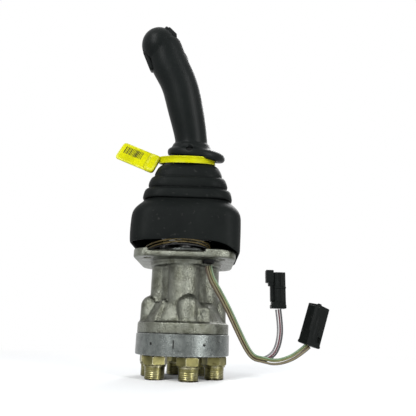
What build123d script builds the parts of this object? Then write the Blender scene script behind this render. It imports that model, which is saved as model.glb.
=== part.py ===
"""Hydraulic pilot joystick valve: a cast body with six ports, four spring-returned plungers
under a tilting contact disc, a universal joint, and a canted grip with a rubber boot.
All sizes in millimetres.  Origin: centre of the mounting flange's underside, +Z up the lever,
+X towards the operator's thumb side."""
from build123d import *
import math
import os

# ---------------------------------------------------------------- driving dimensions
# mounting flange and cast body
FLANGE_W = 93.0            # square flange, side
FLANGE_T = 7.5             # flange thickness
FLANGE_CORNER = 18.0       # flange corner radius
BOLT_SPACING = 66.0        # mounting bolts, hole to hole
BOLT_HOLE_R = 3.4          # clearance for M6
JOINT_Z = -65.0            # joint face between body and port plate
RING_R = 42.4              # machined ring at the foot of the body
RING_H = 9.5
SHOULDER_R = 37.5          # cast shoulder above the ring, drawn in to the lobes at its top
SHOULDER_TOP_Z = -38.0
CORE_R = 25.0              # web between the four plunger lobes
LOBE_R = 14.5              # cast lobe round each plunger bore
LOBE_CIRCLE_R = 18.0
UNDER_BOSS_R = 34.0        # shallow round boss under the flange
UNDER_BOSS_H = 4.0
DOME_R = 10.0              # four domed bosses on the shoulder
DOME_CIRCLE_R = 30.5
DOME_TOP_Z = -31.0
DOME_CLOCK = 10.0          # degrees the domes are turned from the flange axes
PAD_CLOCK = -58.0          # flat pad beside the front dome
PAD_OUT_R = 37.6
PAD_W = 12.4
PAD_TOP_Z = -40.0
DIMPLE_R = 3.6
DIMPLE_Z = -48.0
GUSSET_CLOCKS = (-128.0, 145.0)
GUSSET_T = 5.2
GUSSET_OUT_R = 40.0
GUSSET_TOP_Z = -34.0
WIRE_RECESS_X = (-32.0, 19.0)   # recess in the front top edge of the flange
WIRE_RECESS_IN = 8.0
WIRE_RECESS_DEEP = 2.6
FLANGE_CHAMFER = 0.8
DOWEL_R = 2.0
DOWEL_UP = 5.0
DOWEL_DOWN = 6.0
DOWEL_CIRCLE_R = 35.0

# port plate and fittings
PLATE_R = 43.0
PLATE_BOTTOM_Z = -83.3
PORT_COUNT = 6
PORT_CIRCLE_R = 30.7
PORT_CLOCK = 14.0          # degrees the first port is turned from -Y
HEX_AF = 19.0              # fitting hexagon across flats
HEX_H = 8.2
COLLAR_H = 1.0
THREAD_R = 8.73            # 11/16-16 face-seal end
THREAD_L = 10.6
FITTING_BORE_R = 4.6
STUD_R = 7.14              # 9/16-18 end screwed into the plate
STUD_L = 10.0
ORING_SECTION = 1.8
FITTING_TURN = 20.0        # degrees each hexagon is turned
FACE_GROOVE_R = (5.6, 7.2) # face-seal groove, inner and outer
FACE_GROOVE_DEEP = 1.2
SEAL_R = 24.0              # large ring seal in the joint face
SEAL_HALF_W = 0.9
SEAL_DEEP = 1.2
PIN_HOLE_R = 0.85          # two blind holes in the plate's rim
PIN_HOLE_DEEP = 2.5
PIN_HOLE_Z = -73.5
PIN_HOLE_CLOCKS = (-126.0, -62.0)
PLATE_SCREW_R = 2.5
PLATE_SCREW_BITE = 9.0
PLATE_SCREW_HEAD_R = 4.2
PLATE_SCREW_HEAD_H = 5.0
PLATE_SCREW_CIRCLE_R = 14.0

# plungers and springs
PLUNGER_CIRCLE_R = 20.0
PLUNGER_R = 3.5
PLUNGER_BORE_R = 7.5
PLUNGER_BORE_BOTTOM_Z = -30.0
PLUNGER_HEAD_R = 6.3
PLUNGER_HEAD_T = 2.8
PLUNGER_HEAD_TOP_Z = -7.2
PLUNGER_REST_GAP = 0.9     # free play between plunger tip and contact disc
GUIDE_PROUD = 3.0          # guide bush above the top plate
GUIDE_BOTTOM_Z = 0.0
SPOOL_R = 2.8
SPOOL_L = 44.0
SPOOL_BORE_BOTTOM_Z = -62.0
SPOOL_LAND = 6.0           # lands and metering grooves
SPOOL_GROOVE_W = 3.5
SPOOL_GROOVE_DEEP = 0.8
SPRING_WIRE_R = 0.7
SPRING_R = 5.2
SPRING_TURNS = 3
SEAT_T = 1.5
RUNNING = 0.05             # radial running clearance
TOP_PLATE_R = 33.0
TOP_PLATE_T = 3.5
TOP_SCREW_R = 2.0
TOP_SCREW_BITE = 6.0
TOP_SCREW_HEAD_R = 2.9
TOP_SCREW_HEAD_H = 2.4
TOP_SCREW_CIRCLE_R = 29.8
LIP_SEAL_W = 2.0           # wiper seal round each plunger
LIP_SEAL_H = 2.0

# universal joint and lever
PIVOT_Z = 25.0
CROSS_HALF = 5.2
CROSS_PIN_R = 2.4
EAR_INNER = 5.5
EAR_OUTER = 9.0
EAR_HALF_W = 5.0
JOINT_COLLAR_R = 8.0
JOINT_STUD_R = 6.0
JOINT_STUD_DEEP = 8.0
JOINT_WASHER_T = 2.5
FORK_GAP = 8.5             # pivot to the floor between the lower ears
YOKE_BRIDGE_GAP = 9.5      # pivot to the underside of the yoke bridge
YOKE_BRIDGE_T = 3.5
DISC_R = 26.0
DISC_BORE_R = 13.0
DISC_T = 3.5
HAT_R = 16.0
HAT_WALL = 2.5
HAT_TOP_T = 3.0
LEVER_R = 6.0
YOKE_STUD_R = 5.0
NUT_AF = 17.0
NUT_T = 6.0
BEND_Z = 54.0              # the lever is cranked here
CANT = 18.0                # degrees of lean towards -Y above the crank
CRANK_RADIUS = 18.0

# boot
BOOT_WALL = 2.6
BOOT_RIM_Z = 13.0
BOOT_HALF = 51.0

# grip, measured along the canted lever axis from the crank
GRIP_BASE_S = 53.2
GRIP_END_S = 164.5
GRIP_HEAD_R = 17.8
GRIP_BORE_R = LEVER_R
LEVER_END_S = 110.0
SWITCH_ANGLE = 43.0        # thumb switch, degrees from the lever axis towards +X
BEZEL_L = 15.0
BEZEL_W = 15.0
BEZEL_DEEP = 6.0
BEZEL_PROUD = 1.2
BEZEL_SINK = 1.2           # bezel seat below the head's round surface
BUTTON_L = 11.4
BUTTON_W = 10.0
BUTTON_PROUD = 2.0
BUTTON_H = 5.4
BUTTON_TRAVEL = 2.0
TRIGGER_L = 20.0           # finger trigger on the far side, its face along the handle's edge
TRIGGER_W = 13.0
TRIGGER_T = 6.0
TRIGGER_TRAVEL = 3.4       # room behind the trigger's free end
TRIGGER_LEAN = 23.2        # degrees the face leans from the lever axis
TRIGGER_X = -45.5
TRIGGER_S = 148.0
TRIGGER_PIN_R = 1.2
TRIGGER_PIN_X = 7.2
TRIGGER_PIN_Z = -2.6
RECESS_R = 3.4             # screw recess at the foot of the handle
RECESS_Y = -21.5
RECESS_LEAN = 18.0
SCREW_R = 2.8
SCREW_H = 3.0

# tag
STRAP_S = 50.2
STRAP_R = 26.9
STRAP_X = -2.2
STRAP_H = 6.6
STRAP_T = 1.5
TAG_L = 41.0
TAG_W = 21.0
TAG_T = 1.8
TAG_HEAD_L = 11.0          # thick end that holds the strap
TAG_HEAD_T = 4.6
TAG_CENTRE = (-50.5, -23.5, 101.0)
TAG_SLOPE = 22.0
TAG_TIP = 14.0
STRAP_GAP = 0.4
STRAP_NECK_GAP = 2.9       # strap's inner radius to the half width of the boot's neck

# harness
TRUNK_R = 3.3
LEAD_A_R = 1.5
LEAD_B_R = 1.75
LOOP_R = 2.2
HARNESS_Y = -25.0
HARNESS_EXIT = (22.0, -27.0)
GROMMET_R = 5.5
GROMMET_LIP = 1.2
LOOP_GROMMET_R = 3.4
LOOP_GROMMET_H = 5.2
LOOP_END = (-6.0, FLANGE_W / 2 - 8.0)
SPLIT = (71.0, HARNESS_Y, -84.6)
CONNECTOR_A_X = 85.2
CONNECTOR_A_Z = -41.3
CONNECTOR_A_L = 32.6
CONNECTOR_A_W = 13.6
CONNECTOR_A_D = 11.0
CONNECTOR_A_BASE = 6.0
LATCH_T = 3.3
LATCH_OUT = 3.9
LATCH_HEAD_L = 11.6
CONNECTOR_B_CENTRE = (116.6, HARNESS_Y, -54.6)
CONNECTOR_B_L = 36.0
CONNECTOR_B_W = 15.4
CONNECTOR_B_D = 12.0
CONNECTOR_B_WALL = 1.5
CONNECTOR_B_TILT = 18.0
CONNECTOR_B_TURN = 32.0
CONNECTOR_B_POCKET = 15.0
CONTACT_L = 7.0
CONTACT_W = 1.0

# derived levels
NECK_HALF = STRAP_R - STRAP_NECK_GAP
RING_TOP_Z = JOINT_Z + RING_H
TOP_PLATE_Z = FLANGE_T + TOP_PLATE_T
GUIDE_TOP_Z = TOP_PLATE_Z + GUIDE_PROUD
HEX_BOTTOM_Z = PLATE_BOTTOM_Z - HEX_H
THREAD_TOP_Z = HEX_BOTTOM_Z - COLLAR_H
FITTING_BOTTOM_Z = THREAD_TOP_Z - THREAD_L
BRIDGE_Z = PIVOT_Z + YOKE_BRIDGE_GAP
HAT_TOP_Z = BRIDGE_Z + YOKE_BRIDGE_T + HAT_TOP_T
NUT_TOP_Z = HAT_TOP_Z + NUT_T
PLUNGER_HEAD_BOTTOM_Z = PLUNGER_HEAD_TOP_Z - PLUNGER_HEAD_T

cant = math.radians(CANT)
STICK = Plane(origin=(0, 0, BEND_Z), x_dir=(1, 0, 0), z_dir=(0, -math.sin(cant), math.cos(cant)))
TRIGGER_FRAME = Pos(TRIGGER_X, 0, TRIGGER_S) * Rot(0, -90 - TRIGGER_LEAN, 0)
SIDES = {"right": 0.0, "back": 90.0, "left": 180.0, "front": 270.0}


# ---------------------------------------------------------------- small helpers
def rod(radius, z_low, z_high, x=0.0, y=0.0):
    """Upright cylinder between two levels."""
    return Pos(x, y, z_low) * extrude(Circle(radius), z_high - z_low)


def ring(r_out, r_in, z_low, z_high, x=0.0, y=0.0):
    """Upright tube between two levels."""
    return Pos(x, y, z_low) * extrude(Circle(r_out) - Circle(r_in), z_high - z_low)


def polar(radius, degrees):
    angle = math.radians(degrees)
    return radius * math.cos(angle), radius * math.sin(angle)


def block(x_low, x_high, y_low, y_high, z_low, z_high):
    """Box between two corners."""
    size = (x_high - x_low, y_high - y_low, z_high - z_low)
    centre = ((x_low + x_high) / 2, (y_low + y_high) / 2, (z_low + z_high) / 2)
    return Pos(*centre) * Box(*size)


def hexagon_prism(across_flats, z_low, z_high, turn=0.0):
    outline = RegularPolygon(across_flats / 2, 6, major_radius=False)
    return Pos(0, 0, z_low) * extrude(Rot(0, 0, turn) * outline, z_high - z_low)


def bevelled_hexagon(across_flats, z_low, z_high, turn=0.0):
    """Hexagon with the turned chamfer that a real one has on its lower end."""
    prism = hexagon_prism(across_flats, z_low, z_high, turn)
    height = z_high - z_low
    low_r = across_flats / 2 * 0.97
    cone = Pos(0, 0, (z_low + z_high) / 2) * Cone(low_r, low_r + height * 1.7, height)
    return prism & cone


def solid_group(items):
    return Compound(children=[item.solid() if hasattr(item, "solid") else item for item in items])


def tube(points, radius, factor=0.45):
    """Plain round cord along straight runs joined by tangent arcs, as large as the runs allow."""
    vectors = [Vector(*p) for p in points]
    radii = []
    for before, at, after in zip(vectors, vectors[1:], vectors[2:]):
        run_in, run_out = at - before, after - at
        turn = math.radians(run_in.get_angle(run_out))
        radii.append(factor * min(run_in.length, run_out.length) / math.tan(turn / 2))
    path = FilletPolyline(*points, radius=radii)
    start = Plane(origin=points[0], z_dir=vectors[1] - vectors[0])
    cord = sweep(start * Circle(radius), path=path)
    print("cord radii", [round(r, 1) for r in radii], "length", round(path.length, 1),
          "volume ratio", round(cord.volume / (math.pi * radius ** 2 * path.length), 4))
    return cord


# ---------------------------------------------------------------- cast body
def casting():
    """Flange, lobes, shoulder and joint ring as they come from one mould, with the machined bores."""
    body = extrude(RectangleRounded(FLANGE_W, FLANGE_W, FLANGE_CORNER), FLANGE_T)
    body = chamfer(body.faces().sort_by(Axis.Z)[0].edges(), FLANGE_CHAMFER)
    body += rod(UNDER_BOSS_R, -UNDER_BOSS_H, 0)
    body += rod(CORE_R, JOINT_Z, 0)
    body += rod(RING_R, JOINT_Z, RING_TOP_Z)
    shoulder_h = SHOULDER_TOP_Z - RING_TOP_Z
    body += Pos(0, 0, RING_TOP_Z + shoulder_h / 2) * Cone(SHOULDER_R, LOBE_CIRCLE_R + LOBE_R - 3, shoulder_h)
    for degrees in SIDES.values():
        x, y = polar(LOBE_CIRCLE_R, degrees)
        body += rod(LOBE_R, JOINT_Z, 0, x, y)
        x, y = polar(DOME_CIRCLE_R, degrees + DOME_CLOCK)
        body += rod(DOME_R, JOINT_Z, DOME_TOP_Z - DOME_R, x, y)
        body += Pos(x, y, DOME_TOP_Z - DOME_R) * Sphere(DOME_R)
    body += machined_pad()
    for clock in GUSSET_CLOCKS:
        body += gusset(clock)
    return body - harness_valley() - machined_bores()


def slab(z_low, z_high):
    """Everything between two levels; the casting is kept as three nodes, one above the other."""
    return block(-FLANGE_W, FLANGE_W, -FLANGE_W, FLANGE_W, z_low, z_high)


def harness_valley():
    """The valley on the front right stays open for the harness, up to its hole in the flange."""
    x, y = HARNESS_EXIT
    side = 2 * GROMMET_R + 1
    valley = Pos(x, y, (SHOULDER_TOP_Z - UNDER_BOSS_H) / 2) * Rot(0, 0, math.degrees(math.atan2(y, x))) * Box(
        side, side, -SHOULDER_TOP_Z - UNDER_BOSS_H)
    return valley + rod(GROMMET_R, -UNDER_BOSS_H - 1, FLANGE_T + 1, x, y)


def machined_bores():
    bores = rod(JOINT_STUD_R, -JOINT_STUD_DEEP, FLANGE_T + 1)
    for degrees in SIDES.values():
        x, y = polar(PLUNGER_CIRCLE_R, degrees)
        bores += rod(PLUNGER_BORE_R, PLUNGER_BORE_BOTTOM_Z, FLANGE_T + 1, x, y)
        bores += rod(SPOOL_R + RUNNING, SPOOL_BORE_BOTTOM_Z, PLUNGER_BORE_BOTTOM_Z, x, y)
    half = BOLT_SPACING / 2
    for x, y in ((half, half), (-half, half), (-half, -half), (half, -half)):
        bores += rod(BOLT_HOLE_R, -1, FLANGE_T + 1, x, y)
    front = -FLANGE_W / 2
    bores += block(*WIRE_RECESS_X, front - 1, front + WIRE_RECESS_IN, FLANGE_T - WIRE_RECESS_DEEP, FLANGE_T + 1)
    for x, y in dowel_places():
        bores += rod(DOWEL_R, JOINT_Z, JOINT_Z + DOWEL_UP, x, y)
    for x, y in plate_screw_places():
        bores += rod(PLATE_SCREW_R, JOINT_Z, JOINT_Z + PLATE_SCREW_BITE, x, y)
    for x, y in top_screw_places():
        bores += rod(TOP_SCREW_R, FLANGE_T - TOP_SCREW_BITE, FLANGE_T + 1, x, y)
    return bores


def machined_pad():
    """Flat pad with a round dimple on the shoulder, beside the front dome."""
    pad = block(CORE_R - 1, PAD_OUT_R, -PAD_W / 2, PAD_W / 2, RING_TOP_Z - 1, PAD_TOP_Z)
    pad = chamfer(pad.edges().filter_by(Axis.Y).group_by(Axis.Z)[-1].sort_by(Axis.X)[-1], 3)
    dimple = Pos(PAD_OUT_R, 0, DIMPLE_Z) * Rot(0, 90, 0) * Cylinder(DIMPLE_R, 1.6)
    return Rot(0, 0, PAD_CLOCK) * (pad - dimple)


def gusset(clock):
    """Sloping triangular rib from the ring up to the lobes."""
    inner, top = CORE_R - 3, GUSSET_TOP_Z
    outline = Polyline((inner, RING_TOP_Z - 1), (GUSSET_OUT_R, RING_TOP_Z - 1), (GUSSET_OUT_R, RING_TOP_Z + 3),
                       (inner + 8, top - 2), (inner, top), close=True)
    return Rot(0, 0, clock) * extrude(Plane.XZ * make_face(outline), GUSSET_T / 2, both=True)


# ---------------------------------------------------------------- port plate
def dowel_places():
    return [polar(DOWEL_CIRCLE_R, 45 + DOME_CLOCK), polar(DOWEL_CIRCLE_R, 225 + DOME_CLOCK)]


def plate_screw_places():
    return [polar(PLATE_SCREW_CIRCLE_R, 45 + 90 * k) for k in range(4)]


def top_screw_places():
    return [polar(TOP_SCREW_CIRCLE_R, degrees) for degrees in (45, 135, 225)]


def port_places():
    return [polar(PORT_CIRCLE_R, -90 + PORT_CLOCK + 360 / PORT_COUNT * k) for k in range(PORT_COUNT)]


def port_plate():
    plate = rod(PLATE_R, PLATE_BOTTOM_Z, JOINT_Z)
    plate = chamfer(plate.edges().filter_by(GeomType.CIRCLE), 0.6)
    for x, y in port_places():
        plate -= rod(STUD_R + RUNNING, PLATE_BOTTOM_Z, PLATE_BOTTOM_Z + STUD_L + 1.5, x, y)
        plate -= rod(STUD_R + ORING_SECTION, PLATE_BOTTOM_Z, PLATE_BOTTOM_Z + ORING_SECTION, x, y)
    plate -= ring(SEAL_R + SEAL_HALF_W + 0.1, SEAL_R - SEAL_HALF_W - 0.1, JOINT_Z - SEAL_DEEP, JOINT_Z)
    for x, y in dowel_places():
        plate -= rod(DOWEL_R, JOINT_Z - DOWEL_DOWN, JOINT_Z, x, y)
    for x, y in plate_screw_places():
        plate -= rod(PLATE_SCREW_R, PLATE_BOTTOM_Z, JOINT_Z, x, y)
        plate -= rod(PLATE_SCREW_HEAD_R + 0.2, PLATE_BOTTOM_Z, PLATE_BOTTOM_Z + PLATE_SCREW_HEAD_H, x, y)
    for degrees in PIN_HOLE_CLOCKS:
        x, y = polar(PLATE_R, degrees)
        hole = Plane(origin=(x, y, PIN_HOLE_Z), z_dir=(x, y, 0)) * Circle(PIN_HOLE_R)
        plate -= extrude(hole, PIN_HOLE_DEEP, both=True)
    return plate


def plate_seal():
    return ring(SEAL_R + SEAL_HALF_W, SEAL_R - SEAL_HALF_W, JOINT_Z - SEAL_DEEP, JOINT_Z)


def dowel_pins():
    return solid_group([rod(DOWEL_R, JOINT_Z - DOWEL_DOWN, JOINT_Z + DOWEL_UP, x, y)
                        for x, y in dowel_places()])


def socket_screw(shank_r, head_r, head_h, shank_l, x, y, head_z, up):
    """Socket cap screw whose head seat is at head_z; up is +1 when the head points up."""
    shank = rod(shank_r, min(head_z, head_z - up * shank_l), max(head_z, head_z - up * shank_l))
    head = rod(head_r, min(head_z, head_z + up * head_h), max(head_z, head_z + up * head_h))
    socket_low = head_z + up * head_h * 0.4
    socket_high = head_z + up * head_h
    socket = hexagon_prism(head_r, min(socket_low, socket_high), max(socket_low, socket_high))
    return Pos(x, y, 0) * (shank + head - socket)


def plate_screws():
    head_z = PLATE_BOTTOM_Z + PLATE_SCREW_HEAD_H
    length = JOINT_Z - head_z + PLATE_SCREW_BITE - 1
    return solid_group([socket_screw(PLATE_SCREW_R, PLATE_SCREW_HEAD_R, PLATE_SCREW_HEAD_H - 0.3,
                                     length, x, y, head_z, -1) for x, y in plate_screw_places()])


def port_fitting(x, y):
    fitting = bevelled_hexagon(HEX_AF, HEX_BOTTOM_Z, PLATE_BOTTOM_Z, FITTING_TURN)
    fitting += rod(STUD_R, PLATE_BOTTOM_Z, PLATE_BOTTOM_Z + STUD_L)
    fitting += rod(HEX_AF / 2 + 0.3, THREAD_TOP_Z, HEX_BOTTOM_Z)
    thread = rod(THREAD_R, FITTING_BOTTOM_Z, THREAD_TOP_Z)
    fitting += chamfer(thread.edges().sort_by(Axis.Z)[0], 0.9)
    fitting -= rod(FITTING_BORE_R, FITTING_BOTTOM_Z, PLATE_BOTTOM_Z + STUD_L)
    fitting -= ring(FACE_GROOVE_R[1], FACE_GROOVE_R[0], FITTING_BOTTOM_Z, FITTING_BOTTOM_Z + FACE_GROOVE_DEEP)
    return Pos(x, y, 0) * fitting


def fitting_seals():
    return solid_group([ring(STUD_R + ORING_SECTION - 0.1, STUD_R, PLATE_BOTTOM_Z,
                             PLATE_BOTTOM_Z + ORING_SECTION - 0.1, x, y) for x, y in port_places()])


# ---------------------------------------------------------------- top plate, plungers, springs
def top_plate():
    plate = rod(TOP_PLATE_R, FLANGE_T, TOP_PLATE_Z)
    plate = chamfer(plate.edges().sort_by(Axis.Z)[-1], 0.8)
    for degrees in SIDES.values():
        x, y = polar(PLUNGER_CIRCLE_R, degrees)
        plate -= rod(PLUNGER_BORE_R, FLANGE_T, TOP_PLATE_Z, x, y)
    plate -= rod(JOINT_COLLAR_R, FLANGE_T, TOP_PLATE_Z)
    plate -= rod(GROMMET_R + 1.6, FLANGE_T, TOP_PLATE_Z, *HARNESS_EXIT)
    for x, y in top_screw_places():
        plate -= rod(TOP_SCREW_R, FLANGE_T, TOP_PLATE_Z, x, y)
    return plate


def top_plate_screws():
    length = TOP_SCREW_BITE + TOP_PLATE_T - 1
    return solid_group([socket_screw(TOP_SCREW_R, TOP_SCREW_HEAD_R, TOP_SCREW_HEAD_H, length,
                                     x, y, TOP_PLATE_Z, 1) for x, y in top_screw_places()])


def plunger_guides():
    guides = []
    for degrees in SIDES.values():
        x, y = polar(PLUNGER_CIRCLE_R, degrees)
        guide = rod(PLUNGER_BORE_R - 0.02, GUIDE_BOTTOM_Z, GUIDE_TOP_Z, x, y)
        guide -= rod(PLUNGER_R + RUNNING, GUIDE_BOTTOM_Z, GUIDE_TOP_Z, x, y)
        guide -= rod(PLUNGER_R + LIP_SEAL_W, GUIDE_TOP_Z - LIP_SEAL_H - 0.2, GUIDE_TOP_Z, x, y)
        guides.append(guide)
    return solid_group(guides)


def plunger_seals():
    return solid_group([ring(PLUNGER_R + LIP_SEAL_W - 0.05, PLUNGER_R + RUNNING, GUIDE_TOP_Z - LIP_SEAL_H - 0.2,
                             GUIDE_TOP_Z - 0.2, *polar(PLUNGER_CIRCLE_R, degrees))
                        for degrees in SIDES.values()])


def plunger(degrees):
    x, y = polar(PLUNGER_CIRCLE_R, degrees)
    tip_z = PIVOT_Z - PLUNGER_REST_GAP - PLUNGER_R
    pin = rod(PLUNGER_R, PLUNGER_HEAD_TOP_Z, tip_z) + Pos(0, 0, tip_z) * Sphere(PLUNGER_R)
    pin += rod(PLUNGER_HEAD_R, PLUNGER_HEAD_BOTTOM_Z, PLUNGER_HEAD_TOP_Z)
    return Pos(x, y, 0) * pin


def spool(degrees):
    """Metering spool, carried under the plunger's head."""
    x, y = polar(PLUNGER_CIRCLE_R, degrees)
    low = PLUNGER_HEAD_BOTTOM_Z - SPOOL_L
    stem = rod(SPOOL_R, low, PLUNGER_HEAD_BOTTOM_Z)
    for z in (low + SPOOL_LAND, low + 2 * SPOOL_LAND + SPOOL_GROOVE_W):
        stem -= ring(SPOOL_R + 1, SPOOL_R - SPOOL_GROOVE_DEEP, z, z + SPOOL_GROOVE_W)
    return Pos(x, y, 0) * stem


def return_spring(degrees):
    x, y = polar(PLUNGER_CIRCLE_R, degrees)
    low = PLUNGER_BORE_BOTTOM_Z + SEAT_T + SPRING_WIRE_R
    height = PLUNGER_HEAD_BOTTOM_Z - SPRING_WIRE_R - low
    coil = Helix(height / SPRING_TURNS, height, SPRING_R)
    wire = Plane(origin=coil @ 0, z_dir=coil % 0) * RegularPolygon(SPRING_WIRE_R, 6)
    return Pos(x, y, low) * sweep(wire, path=coil, is_frenet=True)


def spring_seats():
    low = PLUNGER_BORE_BOTTOM_Z
    return solid_group([ring(SPRING_R + 2 * SPRING_WIRE_R, SPOOL_R + 0.4, low, low + SEAT_T,
                             *polar(PLUNGER_CIRCLE_R, degrees)) for degrees in SIDES.values()])


# ---------------------------------------------------------------- universal joint
def joint_base():
    """Stud screwed into the body, collar through the top plate and two upright ears."""
    fork_floor = PIVOT_Z - FORK_GAP
    base = rod(JOINT_STUD_R, 1 - JOINT_STUD_DEEP, FLANGE_T) + rod(JOINT_COLLAR_R, FLANGE_T, fork_floor)
    base += rod(JOINT_COLLAR_R + 3, TOP_PLATE_Z, TOP_PLATE_Z + JOINT_WASHER_T)
    ears = block(-EAR_HALF_W, EAR_HALF_W, -EAR_OUTER, EAR_OUTER, TOP_PLATE_Z + 1, PIVOT_Z)
    ears += Pos(0, 0, PIVOT_Z) * Rot(90, 0, 0) * Cylinder(EAR_HALF_W, 2 * EAR_OUTER)
    ears -= block(-EAR_OUTER, EAR_OUTER, -EAR_INNER, EAR_INNER, fork_floor, PIVOT_Z + EAR_OUTER)
    ears -= Pos(0, 0, PIVOT_Z) * Rot(90, 0, 0) * Cylinder(CROSS_PIN_R + RUNNING, 2 * EAR_OUTER + 2)
    return base + ears


def joint_cross():
    cross = Pos(0, 0, PIVOT_Z) * Box(2 * CROSS_HALF, 2 * CROSS_HALF, 2 * CROSS_HALF - 1.4)
    cross = chamfer(cross.edges(), 0.8)
    pin = Cylinder(CROSS_PIN_R, 2 * EAR_OUTER)
    return cross + Pos(0, 0, PIVOT_Z) * Rot(90, 0, 0) * pin + Pos(0, 0, PIVOT_Z) * Rot(0, 90, 0) * pin


def upper_yoke():
    ears = block(-EAR_OUTER, EAR_OUTER, -EAR_HALF_W, EAR_HALF_W, PIVOT_Z, BRIDGE_Z + YOKE_BRIDGE_T)
    ears += Pos(0, 0, PIVOT_Z) * Rot(0, 90, 0) * Cylinder(EAR_HALF_W, 2 * EAR_OUTER)
    ears -= block(-EAR_INNER, EAR_INNER, -EAR_OUTER, EAR_OUTER, PIVOT_Z - EAR_OUTER, BRIDGE_Z)
    ears -= Pos(0, 0, PIVOT_Z) * Rot(0, 90, 0) * Cylinder(CROSS_PIN_R + RUNNING, 2 * EAR_OUTER + 2)
    return ears + rod(YOKE_STUD_R, BRIDGE_Z + YOKE_BRIDGE_T, NUT_TOP_Z)


def contact_disc():
    """Hardened swash ring with a domed hub that reaches over the joint."""
    inner = HAT_R - HAT_WALL
    inner_top = BRIDGE_Z + YOKE_BRIDGE_T
    profile = Polyline(
        (DISC_BORE_R, PIVOT_Z), (DISC_R - 0.8, PIVOT_Z), (DISC_R, PIVOT_Z + 0.8),
        (DISC_R, PIVOT_Z + DISC_T), (HAT_R + 1.5, PIVOT_Z + DISC_T), (HAT_R, PIVOT_Z + DISC_T + 1.5),
        (HAT_R, HAT_TOP_Z - 2), (HAT_R - 2, HAT_TOP_Z), (YOKE_STUD_R, HAT_TOP_Z),
        (YOKE_STUD_R, inner_top), (inner, inner_top), (DISC_BORE_R, PIVOT_Z + DISC_T), close=True)
    return revolve(Plane.XZ * make_face(profile), Axis.Z)


def lock_nut():
    return bevelled_hexagon(NUT_AF, HAT_TOP_Z, NUT_TOP_Z) - rod(YOKE_STUD_R, HAT_TOP_Z, NUT_TOP_Z)


def lever_rod():
    """Steel rod, cranked once, that runs up inside the grip."""
    top = STICK.from_local_coords((0, 0, LEVER_END_S))
    path = FilletPolyline((0, 0, NUT_TOP_Z), (0, 0, BEND_Z), tuple(top), radius=CRANK_RADIUS)
    return sweep(Plane(origin=(0, 0, NUT_TOP_Z), z_dir=(0, 0, 1)) * Circle(LEVER_R), path=path)


# ---------------------------------------------------------------- boot
BOOT_RINGS = [
    # share of the way from neck to skirt, corner as a share of the half width, level of the centre,
    # shift towards -Y, tilt in degrees
    (0.956, 0.34, BOOT_RIM_Z, 0.0, 0.0),
    (1.000, 0.35, 24.0, 0.0, 0.0),
    (1.000, 0.39, 40.0, 0.0, 0.0),
    (0.907, 0.43, 48.0, 0.3, 2.0),
    (0.741, 0.50, 54.5, 0.6, 4.0),
    (0.648, 0.51, 58.5, 1.0, 6.0),
    (0.696, 0.49, 62.0, 2.0, 8.0),
    (0.630, 0.51, 70.5, 4.0, 11.0),
    (0.481, 0.54, 74.0, 5.0, 13.0),
    (0.526, 0.52, 77.0, 6.0, 14.0),
    (0.422, 0.56, 83.5, 9.0, 16.0),
    (0.278, 0.59, 86.0, 10.0, 17.0),
    (0.315, 0.58, 89.0, 11.0, 18.0),
    (0.163, 0.65, 95.5, 13.3, 18.0),
    (0.000, 0.92, 98.4, 14.3, 18.0),
    (-0.044, 0.92, 104.9, 16.5, 18.0),
]


def boot_section(share, corner, level, shift, tilt, inset):
    angle = math.radians(tilt)
    half = NECK_HALF + share * (BOOT_HALF - NECK_HALF)
    plane = Plane(origin=(0, -shift, level), x_dir=(1, 0, 0), z_dir=(0, -math.sin(angle), math.cos(angle)))
    width = 2 * (half - inset)
    return plane * RectangleRounded(width, width, corner * half - inset)


def boot():
    """Rubber gaiter: a square skirt, three folds and a neck, all one closed shell."""
    outer = loft([boot_section(*r, 0) for r in BOOT_RINGS], ruled=True)
    inner = loft([boot_section(*r, BOOT_WALL) for r in BOOT_RINGS], ruled=True)
    return outer - inner


# ---------------------------------------------------------------- grip
GRIP_LINE = [
    # level along the lever, sideways offset of the centre, half width, half depth
    (64.5, 1.1, 17.2, 16.8),
    (72.0, 1.1, 16.3, 15.8),
    (82.0, -0.6, 16.7, 15.9),
    (93.0, -3.1, 17.3, 16.2),
    (106.0, -6.3, 17.9, 16.5),
    (120.0, -10.0, 18.1, 16.7),
    (134.0, -15.7, 18.2, 16.9),
    (149.0, -23.5, 18.6, 17.2),
    (GRIP_END_S, -32.9, GRIP_HEAD_R - 0.2, GRIP_HEAD_R - 0.4),
]
LIP_LINE = [
    # level above the grip's base, sideways offset, half width, half depth, slope to the thumb side
    (0.3, 4.6, 26.4, 23.6, 7.0),
    (2.8, 6.6, 29.0, 25.0, 6.0),
    (5.8, 6.4, 28.6, 24.8, 4.5),
    (8.4, 4.6, 25.0, 22.8, 3.5),
    (11.4, 1.8, 19.6, 19.2, 1.0),
    (14.8, 1.1, 17.0, 16.6, 0.0),
]


def grip_section(k):
    s, x, half_w, half_d = GRIP_LINE[k]
    before = GRIP_LINE[max(k - 1, 0)]
    after = GRIP_LINE[min(k + 1, len(GRIP_LINE) - 1)]
    lean = Vector(after[1] - before[1], 0, after[0] - before[0])
    if k == 0:
        lean = Vector(0, 0, 1)
    plane = Plane(origin=(x, 0, s), x_dir=(lean.Z, 0, -lean.X), z_dir=lean)
    return plane * Ellipse(half_w, half_d)


def lip_section(s, x, half_w, half_d, slope):
    angle = math.radians(slope)
    plane = Plane(origin=(x, 0, s - x * math.tan(angle)), x_dir=(math.cos(angle), 0, -math.sin(angle)),
                  z_dir=(math.sin(angle), 0, math.cos(angle)))
    return plane * Ellipse(half_w, half_d)


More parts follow.
